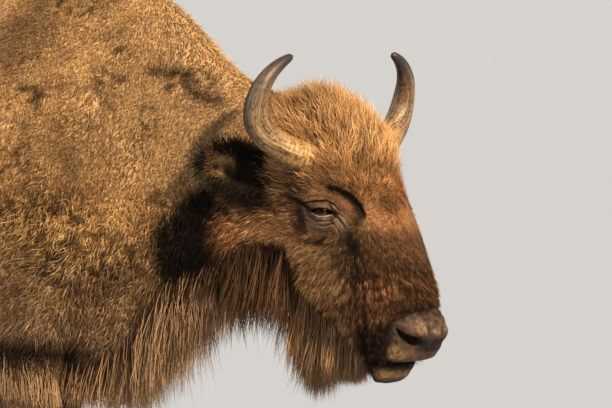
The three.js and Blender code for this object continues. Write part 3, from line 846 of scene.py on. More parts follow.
def muzzle_markings(head, local):
    """The dark nose and lips: bare skin with a paler, flecked lip and painted highlights on the nose, and painted shade
    in the nostrils, mouth and creases.
    """
    f, _, u = local.T
    mirrored = mirror(local)
    bare = bare_muzzle(local)
    fleck = 0.5 + 0.5 * noise(local, 3.5, 59)
    lip = np.maximum(step(1, 0.1, distance_to(mirrored, *PALE_LIP)),
                     step(1, 0.2, np.hypot((f - 168) / 48, (u + 538) / 24)))
    # painted highlights on the nostril's wing and the front of the nose, flecked
    pale = np.maximum(step(1, 0.1, distance_to(mirrored, *NOSE_HIGHLIGHT)),
                      1.4 * step(1, 0.2, distance_to(local, *NOSE_FRONT_HIGHLIGHT)))
    head = dyed(head, ("darkest", 0.9 * step(-385, -430, u - 0.25 * (f - 200) + 14 * noise(local, 24, 57))
                       * step(80, 125, f)),
                ("darkest", 0.66 * step(-335, -390, u + 12 * noise(local, 26, 58)) * step(165, 235, f)),
                ("dark", 0.4 * step(-310, -390, u)),
                ("muzzle", bare),
                ("darkest", bare * step(26, 0, f - curve(MUZZLE_EDGE, u)) * step(-520, -500, u)),
                ("darkest", 0.85 * bare * step(-408, -380, u + 10 * noise(local, 16, 60))),
                ("darkest", 0.85 * bare * step(-512, -520, u)),
                ("lip", bare * lip * (0.25 + 0.9 * fleck)),
                ("rim", 0.42 * bare * pale * (0.3 + 1.0 * fleck)),
                ("darkest", 0.85 * bare * step(1, 0.4, np.hypot((f - 292) / 30, (u + 476) / 38))))
    # painted shade inside the nostrils, in the gap between the lips and in the creases over the nose
    line = path_distance(mirrored, NOSTRIL) - nostril_width(f)
    nostril = step(1.5, -1.5, line) * step(-395, -405, u)
    lips = bell(u - mouth_level(f), 4.5) * step(105, 135, f)
    crease = np.maximum(bell(path_distance(mirrored, NOSE_CREASE), 4.0),
                        0.7 * bell(path_distance(mirrored, NOSE_GROOVE), 6.0))
    head = blend(head, SHADES["darkest"] * 0.25, np.maximum(nostril, np.maximum(0.95 * lips, 0.8 * crease)))
    return dyed(head, ("darkest", 0.8 * step(150, 118, f) * step(-440, -480, u)),
                ("darkest", 0.8 * step(-552, -562, u) * step(100, 120, f)))


def head_markings(body, local):
    """Golden above, dark down the nose, painted shade along the jaw's edge, pale on the cheek, then the eyes and the
    muzzle.
    """
    f, o, u = local.T
    head = dyed(plain("face", len(body)), ("golden", step(-130, -30, u) * (0.8 + 0.3 * noise(body, 60, 41))),
                ("golden", 0.5 * step(110, 30, f) * step(-150, -190, u)),
                ("golden", 0.4 * step(0.0, 0.7, noise(body, 70, 43))),
                ("dark", 0.6 * step(70, 140, f) * step(-170, -235, u)),
                ("dark", 0.4 * step(0.3, 0.7, noise(body, 50, 47))))
    pale = step(90, -30, f) * step(-150, -220, u) * step(-420, -390, u)
    head = head * (1 + pale[:, None] * [1.0, 0.74, 0.6])
    head = head * (1 - 0.42 * step(60, 160, f) * step(-185, -235, u) * step(-310, -270, u))[:, None]
    head = head * (1 + 0.9 * step(20, 80, f) * step(240, 190, f) * step(-290, -330, u))[:, None]
    jaw = jaw_distance(local)
    below = u - np.interp(f, *np.array(JAW_LINE)[:, [0, 2]].T)
    # painted shade under the edge of the jaw, on the sides of the head
    head = dyed(head, ("darkest", 0.7 * step(22, 6, jaw) * step(20, 40, np.abs(o))),
                ("mane", step(14, 40, jaw) * step(0, -30, below) * step(120, 90, f)))
    for side in SIDES.values():
        head = eye_markings(head, local, side)
    return muzzle_markings(head, local)


def markings(points):
    """The colour of the coat at each point, in linear light, from smooth bounds in millimetres."""
    body, local = to_body(points), to_head(points)
    return blend(body_markings(body), head_markings(body, local), head_part(body))


def bare_muzzle(local):
    """The bare end of the nose and the lips."""
    f, _, u = local.T
    ragged = 11 * noise(local, 19, 53) + 4 * noise(local, 6, 54)
    nose = step(-7, 7, f - curve(MUZZLE_EDGE, u) + ragged) * step(-520, -512, u)
    return np.maximum(nose, step(-511, -521, u) * step(116, 134, f))


def bare_part(points):
    """How bare the skin is: 1 on the muzzle and lids, 0 under the coat."""
    local = to_head(points)
    bare = bare_muzzle(local)
    for side in SIDES.values():
        a, b, out, _ = eye_plane(local, side)
        bare = np.maximum(bare, step(1.0, 0.6, np.hypot(a / 46, (b - 4) / 32)) * step(-30, 0, out))
    return bare


# ---- materials ----


def add_node(tree, kind, inputs=(), **settings):
    """Adds a node. An input's value is set on its socket, or linked where it is another node's output."""
    node = tree.nodes.new(kind)
    for name, value in settings.items():
        setattr(node, name, value)
    for name, value in dict(inputs).items():
        socket = node.inputs[name]
        if isinstance(value, bpy.types.NodeSocket):
            tree.links.new(value, socket)
        else:
            socket.default_value = value
    return node


def start_material(name):
    """An empty material, its tree, and the place on the object itself, in metres."""
    material = bpy.data.materials.new(name)
    material.use_nodes = True
    material.node_tree.nodes.clear()
    return material, material.node_tree, add_node(material.node_tree, "ShaderNodeTexCoord").outputs["Object"]


def carried(tree, name, output="Color"):
    """What the piece carries at each point under this name."""
    return add_node(tree, "ShaderNodeAttribute", attribute_name=name).outputs[output]


def noise_node(tree, place, size, detail, roughness=0.5):
    """A cloudy noise whose lumps are this many millimetres across."""
    return add_node(tree, "ShaderNodeTexNoise", {"Vector": place, "Scale": scale_for(size), "Detail": detail,
                                                 "Roughness": roughness})


def finish_material(tree, inputs):
    shader = add_node(tree, "ShaderNodeBsdfPrincipled", inputs)
    add_node(tree, "ShaderNodeOutputMaterial", {"Surface": shader.outputs["BSDF"]})


def with_alpha(colour):
    return (*[float(c) for c in colour], 1.0)


def scale_for(size):
    """The scale of a noise on metres whose lumps are this many millimetres across."""
    return 1 / (size * MM)


def mix_colour(tree, share, first, second, mode="MIX"):
    node = add_node(tree, "ShaderNodeMix", data_type="RGBA", blend_type=mode)
    for socket, value in ((node.inputs[0], share), (node.inputs[6], first), (node.inputs[7], second)):
        if isinstance(value, bpy.types.NodeSocket):
            tree.links.new(value, socket)
        else:
            socket.default_value = value
    return node.outputs[2]


def hide_material():
    """Living hide: matt and streaked like short flat hair under the coat, finely pebbled with a dull shine on muzzle
    and lids."""
    material, tree, place = start_material("hide")
    marks, bare = carried(tree, "Markings"), carried(tree, "Bare", "Fac")
    flat = add_node(tree, "ShaderNodeMapping", {"Vector": place, "Scale": (1.0, 1.0, 0.35)})
    hair = noise_node(tree, flat.outputs["Vector"], 3.5, 3.0, 0.6)
    blotch = noise_node(tree, place, 13, 5.0, 0.65)
    pebble = add_node(tree, "ShaderNodeTexVoronoi", {"Vector": place, "Scale": scale_for(2.6)},
                      feature="DISTANCE_TO_EDGE")
    pits = add_node(tree, "ShaderNodeMath", {0: pebble.outputs["Distance"], 1: 2.4}, operation="MULTIPLY",
                    use_clamp=True)
    dark = mix_colour(tree, 0.7, marks, (0.02, 0.012, 0.008, 1.0))
    coat = mix_colour(tree, hair.outputs["Fac"], dark, marks)
    uneven = add_node(tree, "ShaderNodeMapRange", {"Value": blotch.outputs["Fac"], "From Min": 0.3, "From Max": 0.7,
                                                   "To Min": 0.35, "To Max": 2.0})
    leather = mix_colour(tree, 1.0, marks, uneven.outputs["Result"], "MULTIPLY")
    colour = mix_colour(tree, bare, coat, leather)
    grain = add_node(tree, "ShaderNodeMath", {0: blotch.outputs["Fac"], 1: 2.5, 2: pits.outputs["Value"]},
                     operation="MULTIPLY_ADD")
    height = add_node(tree, "ShaderNodeMix", {0: bare, 2: hair.outputs["Fac"], 3: grain.outputs["Value"]})
    bump = add_node(tree, "ShaderNodeBump", {"Height": height.outputs[0], "Strength": 0.8, "Distance": 1.6 * MM})
    rough = add_node(tree, "ShaderNodeMapRange", {"Value": bare, "To Min": 0.85, "To Max": 0.5})
    finish_material(tree, {"Base Color": colour, "Roughness": rough.outputs["Result"], "Normal": bump.outputs["Normal"],
                           "IOR": 1.4, "Specular IOR Level": 0.3})
    return material


def hair_material():
    """Wool and guard hair: soft and dull, each tuft lighter at its tip, with streaks a few hairs wide."""
    material, tree, place = start_material("guard hair")
    shade = carried(tree, "Coat")
    streak = noise_node(tree, place, 2.2, 2.0)
    dark = mix_colour(tree, 0.3, shade, (0.015, 0.009, 0.005, 1.0))
    colour = mix_colour(tree, streak.outputs["Fac"], dark, shade)
    finish_material(tree, {"Base Color": colour, "Roughness": 0.6, "Specular IOR Level": 0.2, "Sheen Weight": 0.05,
                           "Sheen Roughness": 0.5, "Sheen Tint": with_alpha(srgb("#e8c898")), "IOR": 1.55})
    return material


def keratin_material(name, scratch, bump_depth, roughness):
    """Horn or hoof keratin: a satin fibrous surface, its shade carried by the piece, with fine scratches along it."""
    material, tree, place = start_material(name)
    shade = carried(tree, "Shade")
    fibre = noise_node(tree, place, scratch, 5.0, 0.65)
    dark = mix_colour(tree, 0.5, shade, (0.02, 0.015, 0.012, 1.0))
    colour = mix_colour(tree, fibre.outputs["Fac"], dark, shade)
    bump = add_node(tree, "ShaderNodeBump", {"Height": fibre.outputs["Fac"], "Strength": 0.5,
                                             "Distance": bump_depth * MM})
    finish_material(tree, {"Base Color": colour, "Roughness": roughness, "Normal": bump.outputs["Normal"],
                           "IOR": 1.54})
    return material


def eyeball_material():
    """A wet eyeball: the iris's fibres and pupil are carried by the piece, under a clear glossy cornea."""
    material, tree, place = start_material("wet eyeball")
    veins = noise_node(tree, place, 1.6, 4.0)
    colour = mix_colour(tree, 0.25, carried(tree, "Shade"), veins.outputs["Color"], "MULTIPLY")
    finish_material(tree, {"Base Color": colour, "Roughness": 0.25, "IOR": 1.3, "Specular IOR Level": 0.25,
                           "Coat Weight": 0.03, "Coat Roughness": 0.04, "Coat IOR": 1.38})
    return material


def floor_material(colour):
    """Painted studio floor: matt, with a faint cloudiness."""
    material, tree, place = start_material("studio paint")
    cloud = add_node(tree, "ShaderNodeTexNoise", {"Vector": place, "Scale": 0.6, "Detail": 2.0})
    shade = mix_colour(tree, cloud.outputs["Fac"], with_alpha(colour * 0.985), with_alpha(colour * 1.015))
    finish_material(tree, {"Base Color": shade, "Roughness": 1.0, "Specular IOR Level": 0.0})
    return material


# ---- eyes, horns and hooves ----


def make_eye(side):
    """A ball in spherical coordinates round its look, pushed out over the iris by a cornea that swells with the cosine
    of the angle from the look; the iris has radial fibres, the pupil is a level oval, and the upper half is painted
    dark as the upper lid's shadow."""
    look = EYE_LOOK * [1, side, 1]
    forwards = np.array([EYE_LOOK[1], -side * EYE_LOOK[0], 0])
    theta = np.concatenate([np.linspace(0, 0.9, 56)[1:], np.linspace(0.9, np.pi, 22)[1:-1]])[:, None]
    phi = angles_round(72)
    swell = 2.2 * np.maximum(np.cos(theta * 2.1), 0) * (theta < 0.75)
    radius = EYE_BALL["radius"] + swell
    a, b = radius * np.sin(theta) * np.cos(phi), radius * np.sin(theta) * np.sin(phi)
    out = radius * np.cos(theta) + 0 * phi
    centre = EYE_PLACE * [1, side, 1] + EYE_BALL["back"] * forwards + EYE_BALL["in"] * look
    points = centre + a[..., None] * forwards + b[..., None] * np.array([0, 0, 1.0]) + out[..., None] * look
    surface = closed_loft(from_head(points))
    mesh = new_mesh("eye", *surface)
    local = to_head(read_points(mesh)) - centre
    a, b = local @ forwards, local[:, 2]
    spread = np.hypot(a, b) / EYE_BALL["radius"]
    spoke = np.arctan2(b, a)
    fibres = 0.75 + 0.25 * noise(np.column_stack([np.cos(spoke) * 9, np.sin(spoke) * 9, spread * 2]), 1, 51)
    colour = blend(plain("#1c120c", len(a)), srgb("#5a3a28") * fibres[:, None], step(0.62, 0.5, spread))
    # the upper half of the eyeball, near black, is painted shadow of the upper lid
    paint(mesh, "Shade", dyed(colour, ("#22140c", step(1.15, 0.85, np.hypot(a / 8.5, (b + 0.5) / 4.0))),
                              ("#050302", 0.97 * step(-2.5, 2.5, b))))
    return mesh


HORN_LENGTH = 330  # along the curve


def sheet_noise(places, size, seed):
    """Noise over a sheet, at places given by three arrays of rows and columns."""
    places = np.stack(np.broadcast_arrays(*places), -1)
    return noise(places.reshape(-1, 3), size, seed).reshape(places.shape[:-1])


def make_horn(side):
    """A tube along the horn's line, its thickness read along it, with growth rings that fade towards the tip and
    lengthwise ridges: small waves along and round it."""
    share = np.linspace(-0.06, 1, 230)
    line = spline(np.array(HORN_LINE, float), np.clip(share, 0, 1))
    line[share < 0] = line[share >= 0][0] + share[share < 0][:, None] * HORN_LENGTH * np.array([0.1, 0.55, -0.1])
    line = line * [1, side, 1]
    ring = 72
    angle = angles_round(ring)
    t = np.clip(share, 0, 1)[:, None]
    radius = curve(HORN_THICK, t) / 2 + 0 * angle
    wobble = sheet_noise([np.cos(angle) * 1.2, np.sin(angle) * 1.2, t * 14], 0.5, 61)
    rings = np.sin(2 * np.pi * (t * HORN_LENGTH / 11 + 0.35 * wobble)) * step(0.62, 0.1, t) * 0.55
    grain = sheet_noise([angle * 14, t * 5, 0], 1, 67)
    pits = sheet_noise([angle * 7, t * 60, 0], 1, 71)
    radius = radius + rings + 0.7 * grain * step(1.0, 0.7, t) + 0.8 * np.minimum(pits, 0) * step(0.7, 0.2, t)
    points = tube_rings(line, radius, ring)
    mesh = new_mesh("horn", *closed_loft(from_head(points)))
    flat = np.concatenate([grain.ravel(), [0, 0]])
    pit = np.concatenate([pits.ravel(), [0, 0]])
    t = np.concatenate([np.repeat(np.clip(share, 0, 1), ring), [0, 1]])
    # painted shade: the horn's side turned back and outwards, away from the key light, is darkened from the root
    # towards the tip
    outside = read_points(mesh, "normal") @ HEAD_AXES @ np.array([-0.74, 0.67 * side, 0])
    paint(mesh, "Shade", dyed(plain("#b88e54", len(t)), ("#8c6f50", step(0.12, 0.45, t)),
                              ("#3f342b", step(0.5, 0.92, t)),
                              ("#cfab74", step(0.1, 0.03, t) * 0.6),
                              ("#2c2620", 0.6 * step(0.0, 0.6, -flat) * step(0.02, 0.2, t)),
                              ("#231d18", 0.65 * step(0.05, 0.5, -pit)),
                              ("#c8ac7c", 0.5 * step(0.1, 0.8, flat) * step(0.95, 0.5, t)),
                              ("#1c1713", 0.85 * step(0.35, 0.95, outside) * step(0.02, 0.12, t))))
    return mesh


def claw_surface(across):
    """One claw: superellipses that shrink and lean back from the ground to the coronet, with growth waves."""
    level = np.concatenate([[0.0, 0.006, 0.02], np.linspace(0.05, 0.97, 26), [0.99, 1.0]])[:, None]
    spread = np.interp(level, [0, 0.08, 0.5, 1], [0.965, 1, 0.55, 0]) - 0.02 * step(0.03, 0, level)
    angle = angles_round(56)
    half_length = CLAW["top_length"] + (CLAW["length"] - CLAW["top_length"]) * spread
    half_width = CLAW["top_width"] + (CLAW["width"] - CLAW["top_width"]) * spread
    waves = 0.6 * np.sin(2 * np.pi * level * HOOF_HEIGHT / 7) * step(0, 0.1, level) * step(1, 0.9, level)
    edge = -2.0 * step(0.95, 1.0, level)
    rounds = (2.0, 3.2) if across > 0 else (3.2, 2.0)
    x, y = egg(angle, half_length / 2 + waves + edge, half_width / 2 + waves + edge, half_width / 2 + waves + edge,
               *rounds)
    return np.stack([x + CLAW["lead"] * spread, y, level * (HOOF_HEIGHT - 0.3) + 0 * angle], -1)


DEWCLAW = {"radius": 15, "half_height": 22.5, "flat": 0.86, "place": (-59, 27, 112)}


def dewclaw_surface():
    """A ball drawn out downwards and a little flattened, in latitude and longitude."""
    lat = np.linspace(-np.pi / 2, np.pi / 2, 20)[1:-1, None]
    lon = angles_round(28)
    swell = DEWCLAW["radius"] * (1 + 0.03 * np.sin(lat * 12))
    return np.stack([swell * np.cos(lat) * np.cos(lon), DEWCLAW["flat"] * swell * np.cos(lat) * np.sin(lon),
                     DEWCLAW["half_height"] * np.sin(lat) + 0 * lon], -1)


def make_hooves(foot):
    """The two claws and two dewclaws of a foot, standing flat at its place."""
    table, side, stride = LEG_TABLES[foot]
    ground = np.array([table[-1][0] + stride, side * table[-1][1], 0.0])
    parts = []
    for across in (-1, 1):
        parts.append(claw_surface(across) + ground + [0, across * (CLAW["width"] + 4) / 2, 0])
        parts.append(dewclaw_surface() + ground + DEWCLAW["place"] * np.array([1, across, 1]))
    mesh = new_mesh("hooves", *join([closed_loft(from_body(part)) for part in parts]))
    points = to_body(read_points(mesh))
    streak = noise(points * [1, 1, 0.12], 5, 81)
    band = noise(points * [0.1, 0.1, 1], 5, 83)
    paint(mesh, "Shade", dyed(plain("#2b2522", len(points)), ("#5a4c42", 0.5 * step(-0.2, 0.8, streak)),
                              ("#6b5a4a", 0.35 * step(0.1, 0.8, band)),
                              ("#4a4038", step(14, 0, points[:, 2]) * 0.7)))
    return mesh


# ---- the coat ----

# Where the long hair ends, forwards and up: under the mane, under the throat, and under the beard in head axes.
MANE_EDGE = [(150, 690), (230, 664), (350, 628), (474, 596), (593, 610), (683, 638), (734, 662), (774, 680),
             (804, 706), (824, 742), (840, 810), (862, 885)]
THROAT_EDGE = [(560, 830), (640, 860), (700, 850), (760, 850), (800, 880), (822, 872), (846, 805), (878, 745),
               (921, 775), (953, 716), (985, 704)]
BEARD_EDGE = [(-290, -440), (-250, -480), (-198, -520), (-150, -560), (-116, -592), (-88, -612), (-42, -622),
              (-8, -572), (45, -574), (90, -552), (130, -536)]
WHORL = np.array([128.0, 74.0, -176.0])  # head axes, left side: the hair of the face runs away from here


def scatter(skin, count, weigh, seed):
    """Roots spread over the skin: one in each equal step of the running sum of each triangle's area times its weight.
    Returns places and normals."""
    skin.calc_loop_triangles()
    tris = read_array(skin.loop_triangles, "vertices", 3, np.int32)
    points, normals, ear = read_points(skin), read_points(skin, "normal"), read_ears(skin)
    corners = points[tris]
    area = np.linalg.norm(np.cross(corners[:, 1] - corners[:, 0], corners[:, 2] - corners[:, 0]), axis=1)
    weight = weigh(corners.mean(1), unit(normals[tris].mean(1)), ear[tris[:, 0]] > 0.5)
    total = np.cumsum(area * np.maximum(weight, 0))
    rng = np.random.default_rng(seed)
    at = (np.arange(count) + rng.random(count)) / count * total[-1]
    face = np.minimum(np.searchsorted(total, at), len(tris) - 1)
    r, s = np.sqrt(rng.random(count)), rng.random(count)
    share = np.column_stack([1 - r, r * (1 - s), r * s])
    return ((corners[face] * share[..., None]).sum(1), unit((normals[tris[face]] * share[..., None]).sum(1)))


def mane_part(body):
    """How far a point belongs to the mane: a band above its lower edge, behind the throat."""
    x, _, z = body.T
    top = 150 + 170 * step(450, 730, x)
    return step(top, 0.35 * top, z - curve(MANE_EDGE, x)) * step(190, 300, x) * step(864, 846, x) * (
        1 - step(660, 720, x) * step(930, 985, z))


def beard_part(local):
    """The underside and back of the jaw."""
    f, _, u = local.T
    middle, _, back, _, _ = head_section(u)
    return step(34, 8, f - (middle - back)) * step(-305, -350, u) * step(-560, -520, u) * step(-330, -290, f)


def eye_ring(local):
    """How far from the eye a point lies, 1 at the edge of the short-haired skin round it."""
    ring = np.full(len(local), 9.0)
    for side in SIDES.values():
        a, b, out, _ = eye_plane(local, side)
        ring = np.minimum(ring, np.where((out > -50) & (side * local[:, 1] > 0), np.hypot(a / 76, (b - 4) / 54), 9))
    return ring


def lie_of_coat(points, normals, lengths):
    """Way, length and stance of the coat at each point: backwards and down on the body, down the legs, and away from
    the whorl between the eyes on the head, always along the skin."""
    body, local = to_body(points), to_head(points)
    x, y, z = body.T
    f, o, u = local.T
    front, leg = step(-200, 350, x), step(760, 620, z) * step(520, 430, x)
    way = np.array([-1, 0, -0.3]) + front[:, None] * np.array([0.35, 0, -0.35])
    way = way + (front * step(1000, 1100, z))[:, None] * np.array([0.3, 0, -0.6])
    way = way + np.column_stack([0 * y, np.clip(y / 160, -1, 1) * 0.3, 0 * y])
    way = way + leg[:, None] * (np.array([-0.12, 0, -1]) - way)
    way = way + mane_part(body)[:, None] * (np.array([-0.1, 0, -1]) - way)
    on_head = head_part(body)
    beside = np.column_stack([np.ones(len(o)), np.tanh(o / 26), np.ones(len(o))])
    apart = local - WHORL * beside
    apart[:, 1] = np.where(np.abs(o) < WHORL[1], apart[:, 1] * (o / WHORL[1]) ** 2, apart[:, 1])
    straight_down = (1.3 * bell(o, 42) * step(-60, -120, u))[:, None] * [0, 0, -1]
    from_whorl = unit(unit(apart) + straight_down) @ HEAD_AXES.T
    way = unit(way) + on_head[:, None] * (from_whorl - unit(way))
    way = way + 0.2 * noise3(body, 110, 91) + 0.2 * noise3(body, 32, 94)
    way = way - (way * normals).sum(-1, keepdims=True) * normals
    length = lengths.flank + (lengths.neck - lengths.flank) * front
    length = length * (1 + 0.5 * step(1180, 980, z) * step(560, 440, x) * front)
    wool = front * step(1040, 1160, z)
    length = length * (1 - 0.38 * wool)
    length = length + leg * (lengths.leg * (0.5 + 0.9 * step(250, 700, z)) - length)
    brow = step(-195, -70, u)
    bridge = np.exp(-(o / 105) ** 4) * step(-330, -250, u)
    head_length = lengths.face + (lengths.forehead - lengths.face) * brow * step(-160, -60, f)
    head_length = head_length + (lengths.jaw - head_length) * step(40, -60, f) * (1 - brow)
    head_length = head_length * (1 - 0.45 * bridge * step(-50, -110, u))
    ring = eye_ring(local)
    near_jaw = step(60, 15, jaw_distance(local)) * step(110, 80, f)
    whorl = bell(distance_to(local, WHORL * beside), 55)
    head_length = np.maximum(head_length * (1 - 0.45 * whorl), 44 * near_jaw)
    head_length = head_length * (0.28 + 0.72 * step(0.75, 1.3, ring)) * (
        1 - step(-310, -400, u) * (0.2 + 0.35 * step(150, 230, f)))
    length = length + on_head * (head_length - length)
    ridge = step(90, 0, np.abs(y - curve(BEND, x))) * step(1250, 1350, z)
    crown = 0.38 * bridge * step(-40, -110, u)
    lift = 0.34 + 0.16 * front + 0.35 * wool + 0.15 * ridge + on_head * (0.26 * brow - 0.04 - crown) - 0.12 * leg
    return unit(way), length, lift


ROOT_DEPTH = 1.5  # how deep in the skin a tuft starts
STEEPEST = 0.72  # the most of a short tuft's way that may stand off the skin
LONG_TONES = 0.36  # how much the tones of locks differ; short tufts differ by more
BAKE_MARGIN, BAKE_HALF = 0.004, 0.0015  # the map's free edge and half the height of a tuft's patch in it


def build_tufts(name, roots, normals, start, end, length, width, rings, curl, pull, colour, unwrap, seed,
                tones=0.95):
    """Closed spindles. The middle line leaves the root along `start` and bends to `end`: root plus length times
    (start (s - s²/2) + end s²/2), with a sideways wave and a pull towards the clump's middle that grow with s. Round
    it each ring is a flat triangle; the first ring is the widest and the last point is the tip."""
    rng = np.random.default_rng(seed)
    count = len(roots)
    s = np.concatenate([[0], (np.arange(rings) + 0.6) / (rings + 0.6), [1]])[None, :, None]
    side = unit(np.cross(start, normals) + 1e-6)[:, None]
    phase = rng.random((count, 1, 1))
    long = length[:, None, None]
    bent = long * (start[:, None] * (s - s ** 2 / 2) + end[:, None] * s ** 2 / 2)
    wave = side * curl[:, None, None] * np.sin(2 * np.pi * (1.1 * s + phase)) * s
    line = roots[:, None] + (bent + wave + pull[:, None] * s ** 1.6 - ROOT_DEPTH * (1 - s) * normals[:, None]) * MM
    along = unit(start[:, None] * (1 - s) + end[:, None] * s)[:, 1:-1]
    up = unit(np.cross(side, along))
    angle = np.array([90, 210, 330]) * np.pi / 180
    inner = s[:, 1:-1, None]
    across = width[:, None, None, None] / 2 * (1.02 - 0.8 * inner ** 1.1) * MM
    rim = (line[:, 1:-1, None] + across * (np.cos(angle)[None, None, :, None] * side[:, :, None] * 1.15
                                           + 0.55 * np.sin(angle)[None, None, :, None] * up[:, :, None]))
    each = 3 * rings + 2
    points = np.concatenate([line[:, :1], rim.reshape(count, -1, 3), line[:, -1:]], 1)
    first = np.arange(3)
    after = (first + 1) % 3
    last = 3 * (rings - 1)
    tris = np.concatenate([np.stack([0 * first, 1 + after, 1 + first], -1),
                           np.stack([1 + last + first, 1 + last + after, 0 * first + each - 1], -1)])
    quads = np.concatenate([np.stack([1 + 3 * j + first, 1 + 3 * j + after, 4 + 3 * j + after, 4 + 3 * j + first], -1)
                            for j in range(rings - 1)]) if rings > 1 else np.zeros((0, 4), int)
    if volume(points[0] - points[0].mean(0), tris) < 0:
        tris, quads = tris[:, ::-1], quads[:, ::-1]
    base = np.arange(count)[:, None, None] * each
    sets = [(tris[None] + base).reshape(-1, 3)] + ([(quads[None] + base).reshape(-1, 4)] if rings > 1 else [])
    mesh = new_mesh(name, points.reshape(-1, 3), *sets)
    reach = np.concatenate([[0], np.repeat(s[0, 1:-1, 0], 3), [1]])
    tone = 1 + tones * (rng.random((count, 1, 1)) - 0.5)
    shade = colour[:, None] * tone * (0.34 + 0.98 * reach[None, :, None] ** 0.9)
    paint(mesh, "Coat", np.clip(shade, 0, 1).reshape(-1, 3))
    spot = BAKE_HALF * np.column_stack([np.concatenate([[0], np.tile([-0.7, 0, 0.7], rings), [0]]), 2 * reach - 1])
    flat = (np.clip(unwrap(roots), BAKE_MARGIN, 1 - BAKE_MARGIN)[:, None] + spot[None]).reshape(-1, 2)
    layer = mesh.uv_layers.new(name="OFBake")
    layer.uv.foreach_set("vector", flat[read_corners(mesh)].astype(np.float32).ravel())
    return mesh


def turn(along, across):
    return np.arctan2(along, across) / (2 * np.pi) + 0.5


def unwrap_head(points):
    """The head as a cylinder round the middle of its sections."""
    f, o, u = to_head(points).T
    return np.column_stack([turn(f - head_section(u)[0], o), (u + 620) / 740])


def unwrap_trunk(points):
    """The trunk as a cylinder round the line through its widest places."""
    x, y, z = to_body(points).T
    return np.column_stack([(x + 1220) / 2420, turn(z - curve(WIDEST, x), y - curve(BEND, x))])


def unwrap_legs(points):
    """Each leg as a cylinder, in its own quarter of the map."""
    x, y, z = to_body(points).T
    which = (x < -200) * 2 + (y > 0)
    middle_x, middle_y = np.where(x < -200, -930, 335), np.sign(y) * 172
    return np.column_stack([(which + 0.02 + 0.96 * turn(x - middle_x, y - middle_y)) / 4, z / 1250])


def unwrap_ears(points):
    """Each ear as a cylinder round its own length, in its own half of the map."""
    local = to_head(points)
    left = local[:, 1] > 0
    result = np.zeros((len(points), 2))
    for side, own in ((-1, ~left), (1, left)):
        along, across, front = ear_axes(side)
        at = local[own] - EAR_ROOT * [1, side, 1]
        result[own] = np.column_stack([(left[own] + 0.05 + 0.9 * turn(at @ front - 8, at @ across)) / 2,
                                       (at @ along + 50) / 260])
    return result


def clumped(points, cell, seed, share):
    """The pull of each tuft's tip towards the middle of its clump, and how near the clump's edge its root stands."""
    way = to_clump(points / MM, cell, seed)
    return way * share, step(0.30, 0.72, np.linalg.norm(way, axis=1) / cell)


def short_coat(skin, name, count, rings, weigh, unwrap, lengths, look, seed):
    """Tufts that lie along the skin. The look gives their width, curl, the size and pull of clumps, and the painted
    shade at the clumps' edges.
    """
    roots, normals = scatter(skin, count, weigh, seed)
    way, length, lift = lie_of_coat(roots, normals, lengths)
    rng = np.random.default_rng(seed + 1)
    length = length * (0.72 + 0.5 * rng.random(count))
    start = unit(way + (lift * (0.7 + 0.6 * rng.random(count)))[:, None] * normals
                 + look["mess"] * rng.normal(size=(count, 3)))
    start = start - np.maximum((start * normals).sum(-1, keepdims=True) - STEEPEST, 0) * normals
    end = unit(start - 0.35 * (start * normals).sum(-1, keepdims=True) * normals
               + [0, 0, -look["droop"]] + look["mess"] * rng.normal(size=(count, 3)))
    pull, edge = clumped(roots, look["clump"], seed + 2, look["pull"])
    strength = np.maximum(look["even"], 0.12 + 1.1 * step(-0.1, 0.5, noise(to_body(roots), 120, 93)))
    edge = np.minimum(edge * strength, 1)
    pull = pull * (strength * np.minimum(1, length / 30))[:, None]
    length = length * (1 - 0.35 * edge)
    width = look["width"] * (0.75 + 0.5 * rng.random(count)) * np.clip(length / look["typical"], 0.45, 1.3)
    colour = markings(roots) * (1 + look["fleck"] * (2 * rng.random((count, 1)) - 1))
    # painted shade in the gaps between clumps
    colour = colour * (1 - look["gap"] * edge)[:, None]
    return build_tufts(name, roots, normals, start, end, length, width, rings, look["curl"] * length / 40, pull,
                       colour, unwrap, seed + 3)


def long_coat(skin, name, count, rings, weigh, length_of, unwrap, look, seed):
    """Locks that leave the skin and hang: they bend from the lie of the coat straight down."""
    roots, normals = scatter(skin, count, weigh, seed)
    rng = np.random.default_rng(seed + 1)
    body = to_body(roots)
    length = length_of(roots) * (0.55 + 0.5 * np.sqrt(rng.random(count)))
    way = np.array(look["way"]) + 0.3 * noise3(body, 90, seed + 4) - [look["sweep"], 0, 0] * (
        step(560, 700, body[:, :1]) * step(790, 740, body[:, :1]) * np.abs(normals[:, 1:2]))
    way = way - (way * normals).sum(-1, keepdims=True) * normals
    start = unit(way + look["lift"] * normals + 0.10 * rng.normal(size=(count, 3)))
    end = unit(np.array(look["fall"]) + 0.10 * rng.normal(size=(count, 3)) + 0.22 * noise3(body, 45, seed + 5))
    pull, edge = clumped(body * [1, 1, 0.25] * MM, look["clump"], seed + 2, look["pull"])
    pull[:, 2] = 0
    width = look["width"] * (0.7 + 0.6 * rng.random(count))
    colour = markings(roots)
    broad = 1 + 0.35 * noise(body * [1, 1, 0.3], 60, seed + 6)[:, None]
    colour = blend(colour, look["shade"] * broad * (0.9 + 0.2 * rng.random((count, 1))), np.full(count, look["dye"]))
    # painted shade in the gaps between clumps
    colour = colour * (1 - look["gap"] * edge)[:, None]
    return build_tufts(name, roots, normals, start, end, length, width, rings, np.full(count, look["curl"]), pull,
                       colour, unwrap, seed + 3, LONG_TONES)
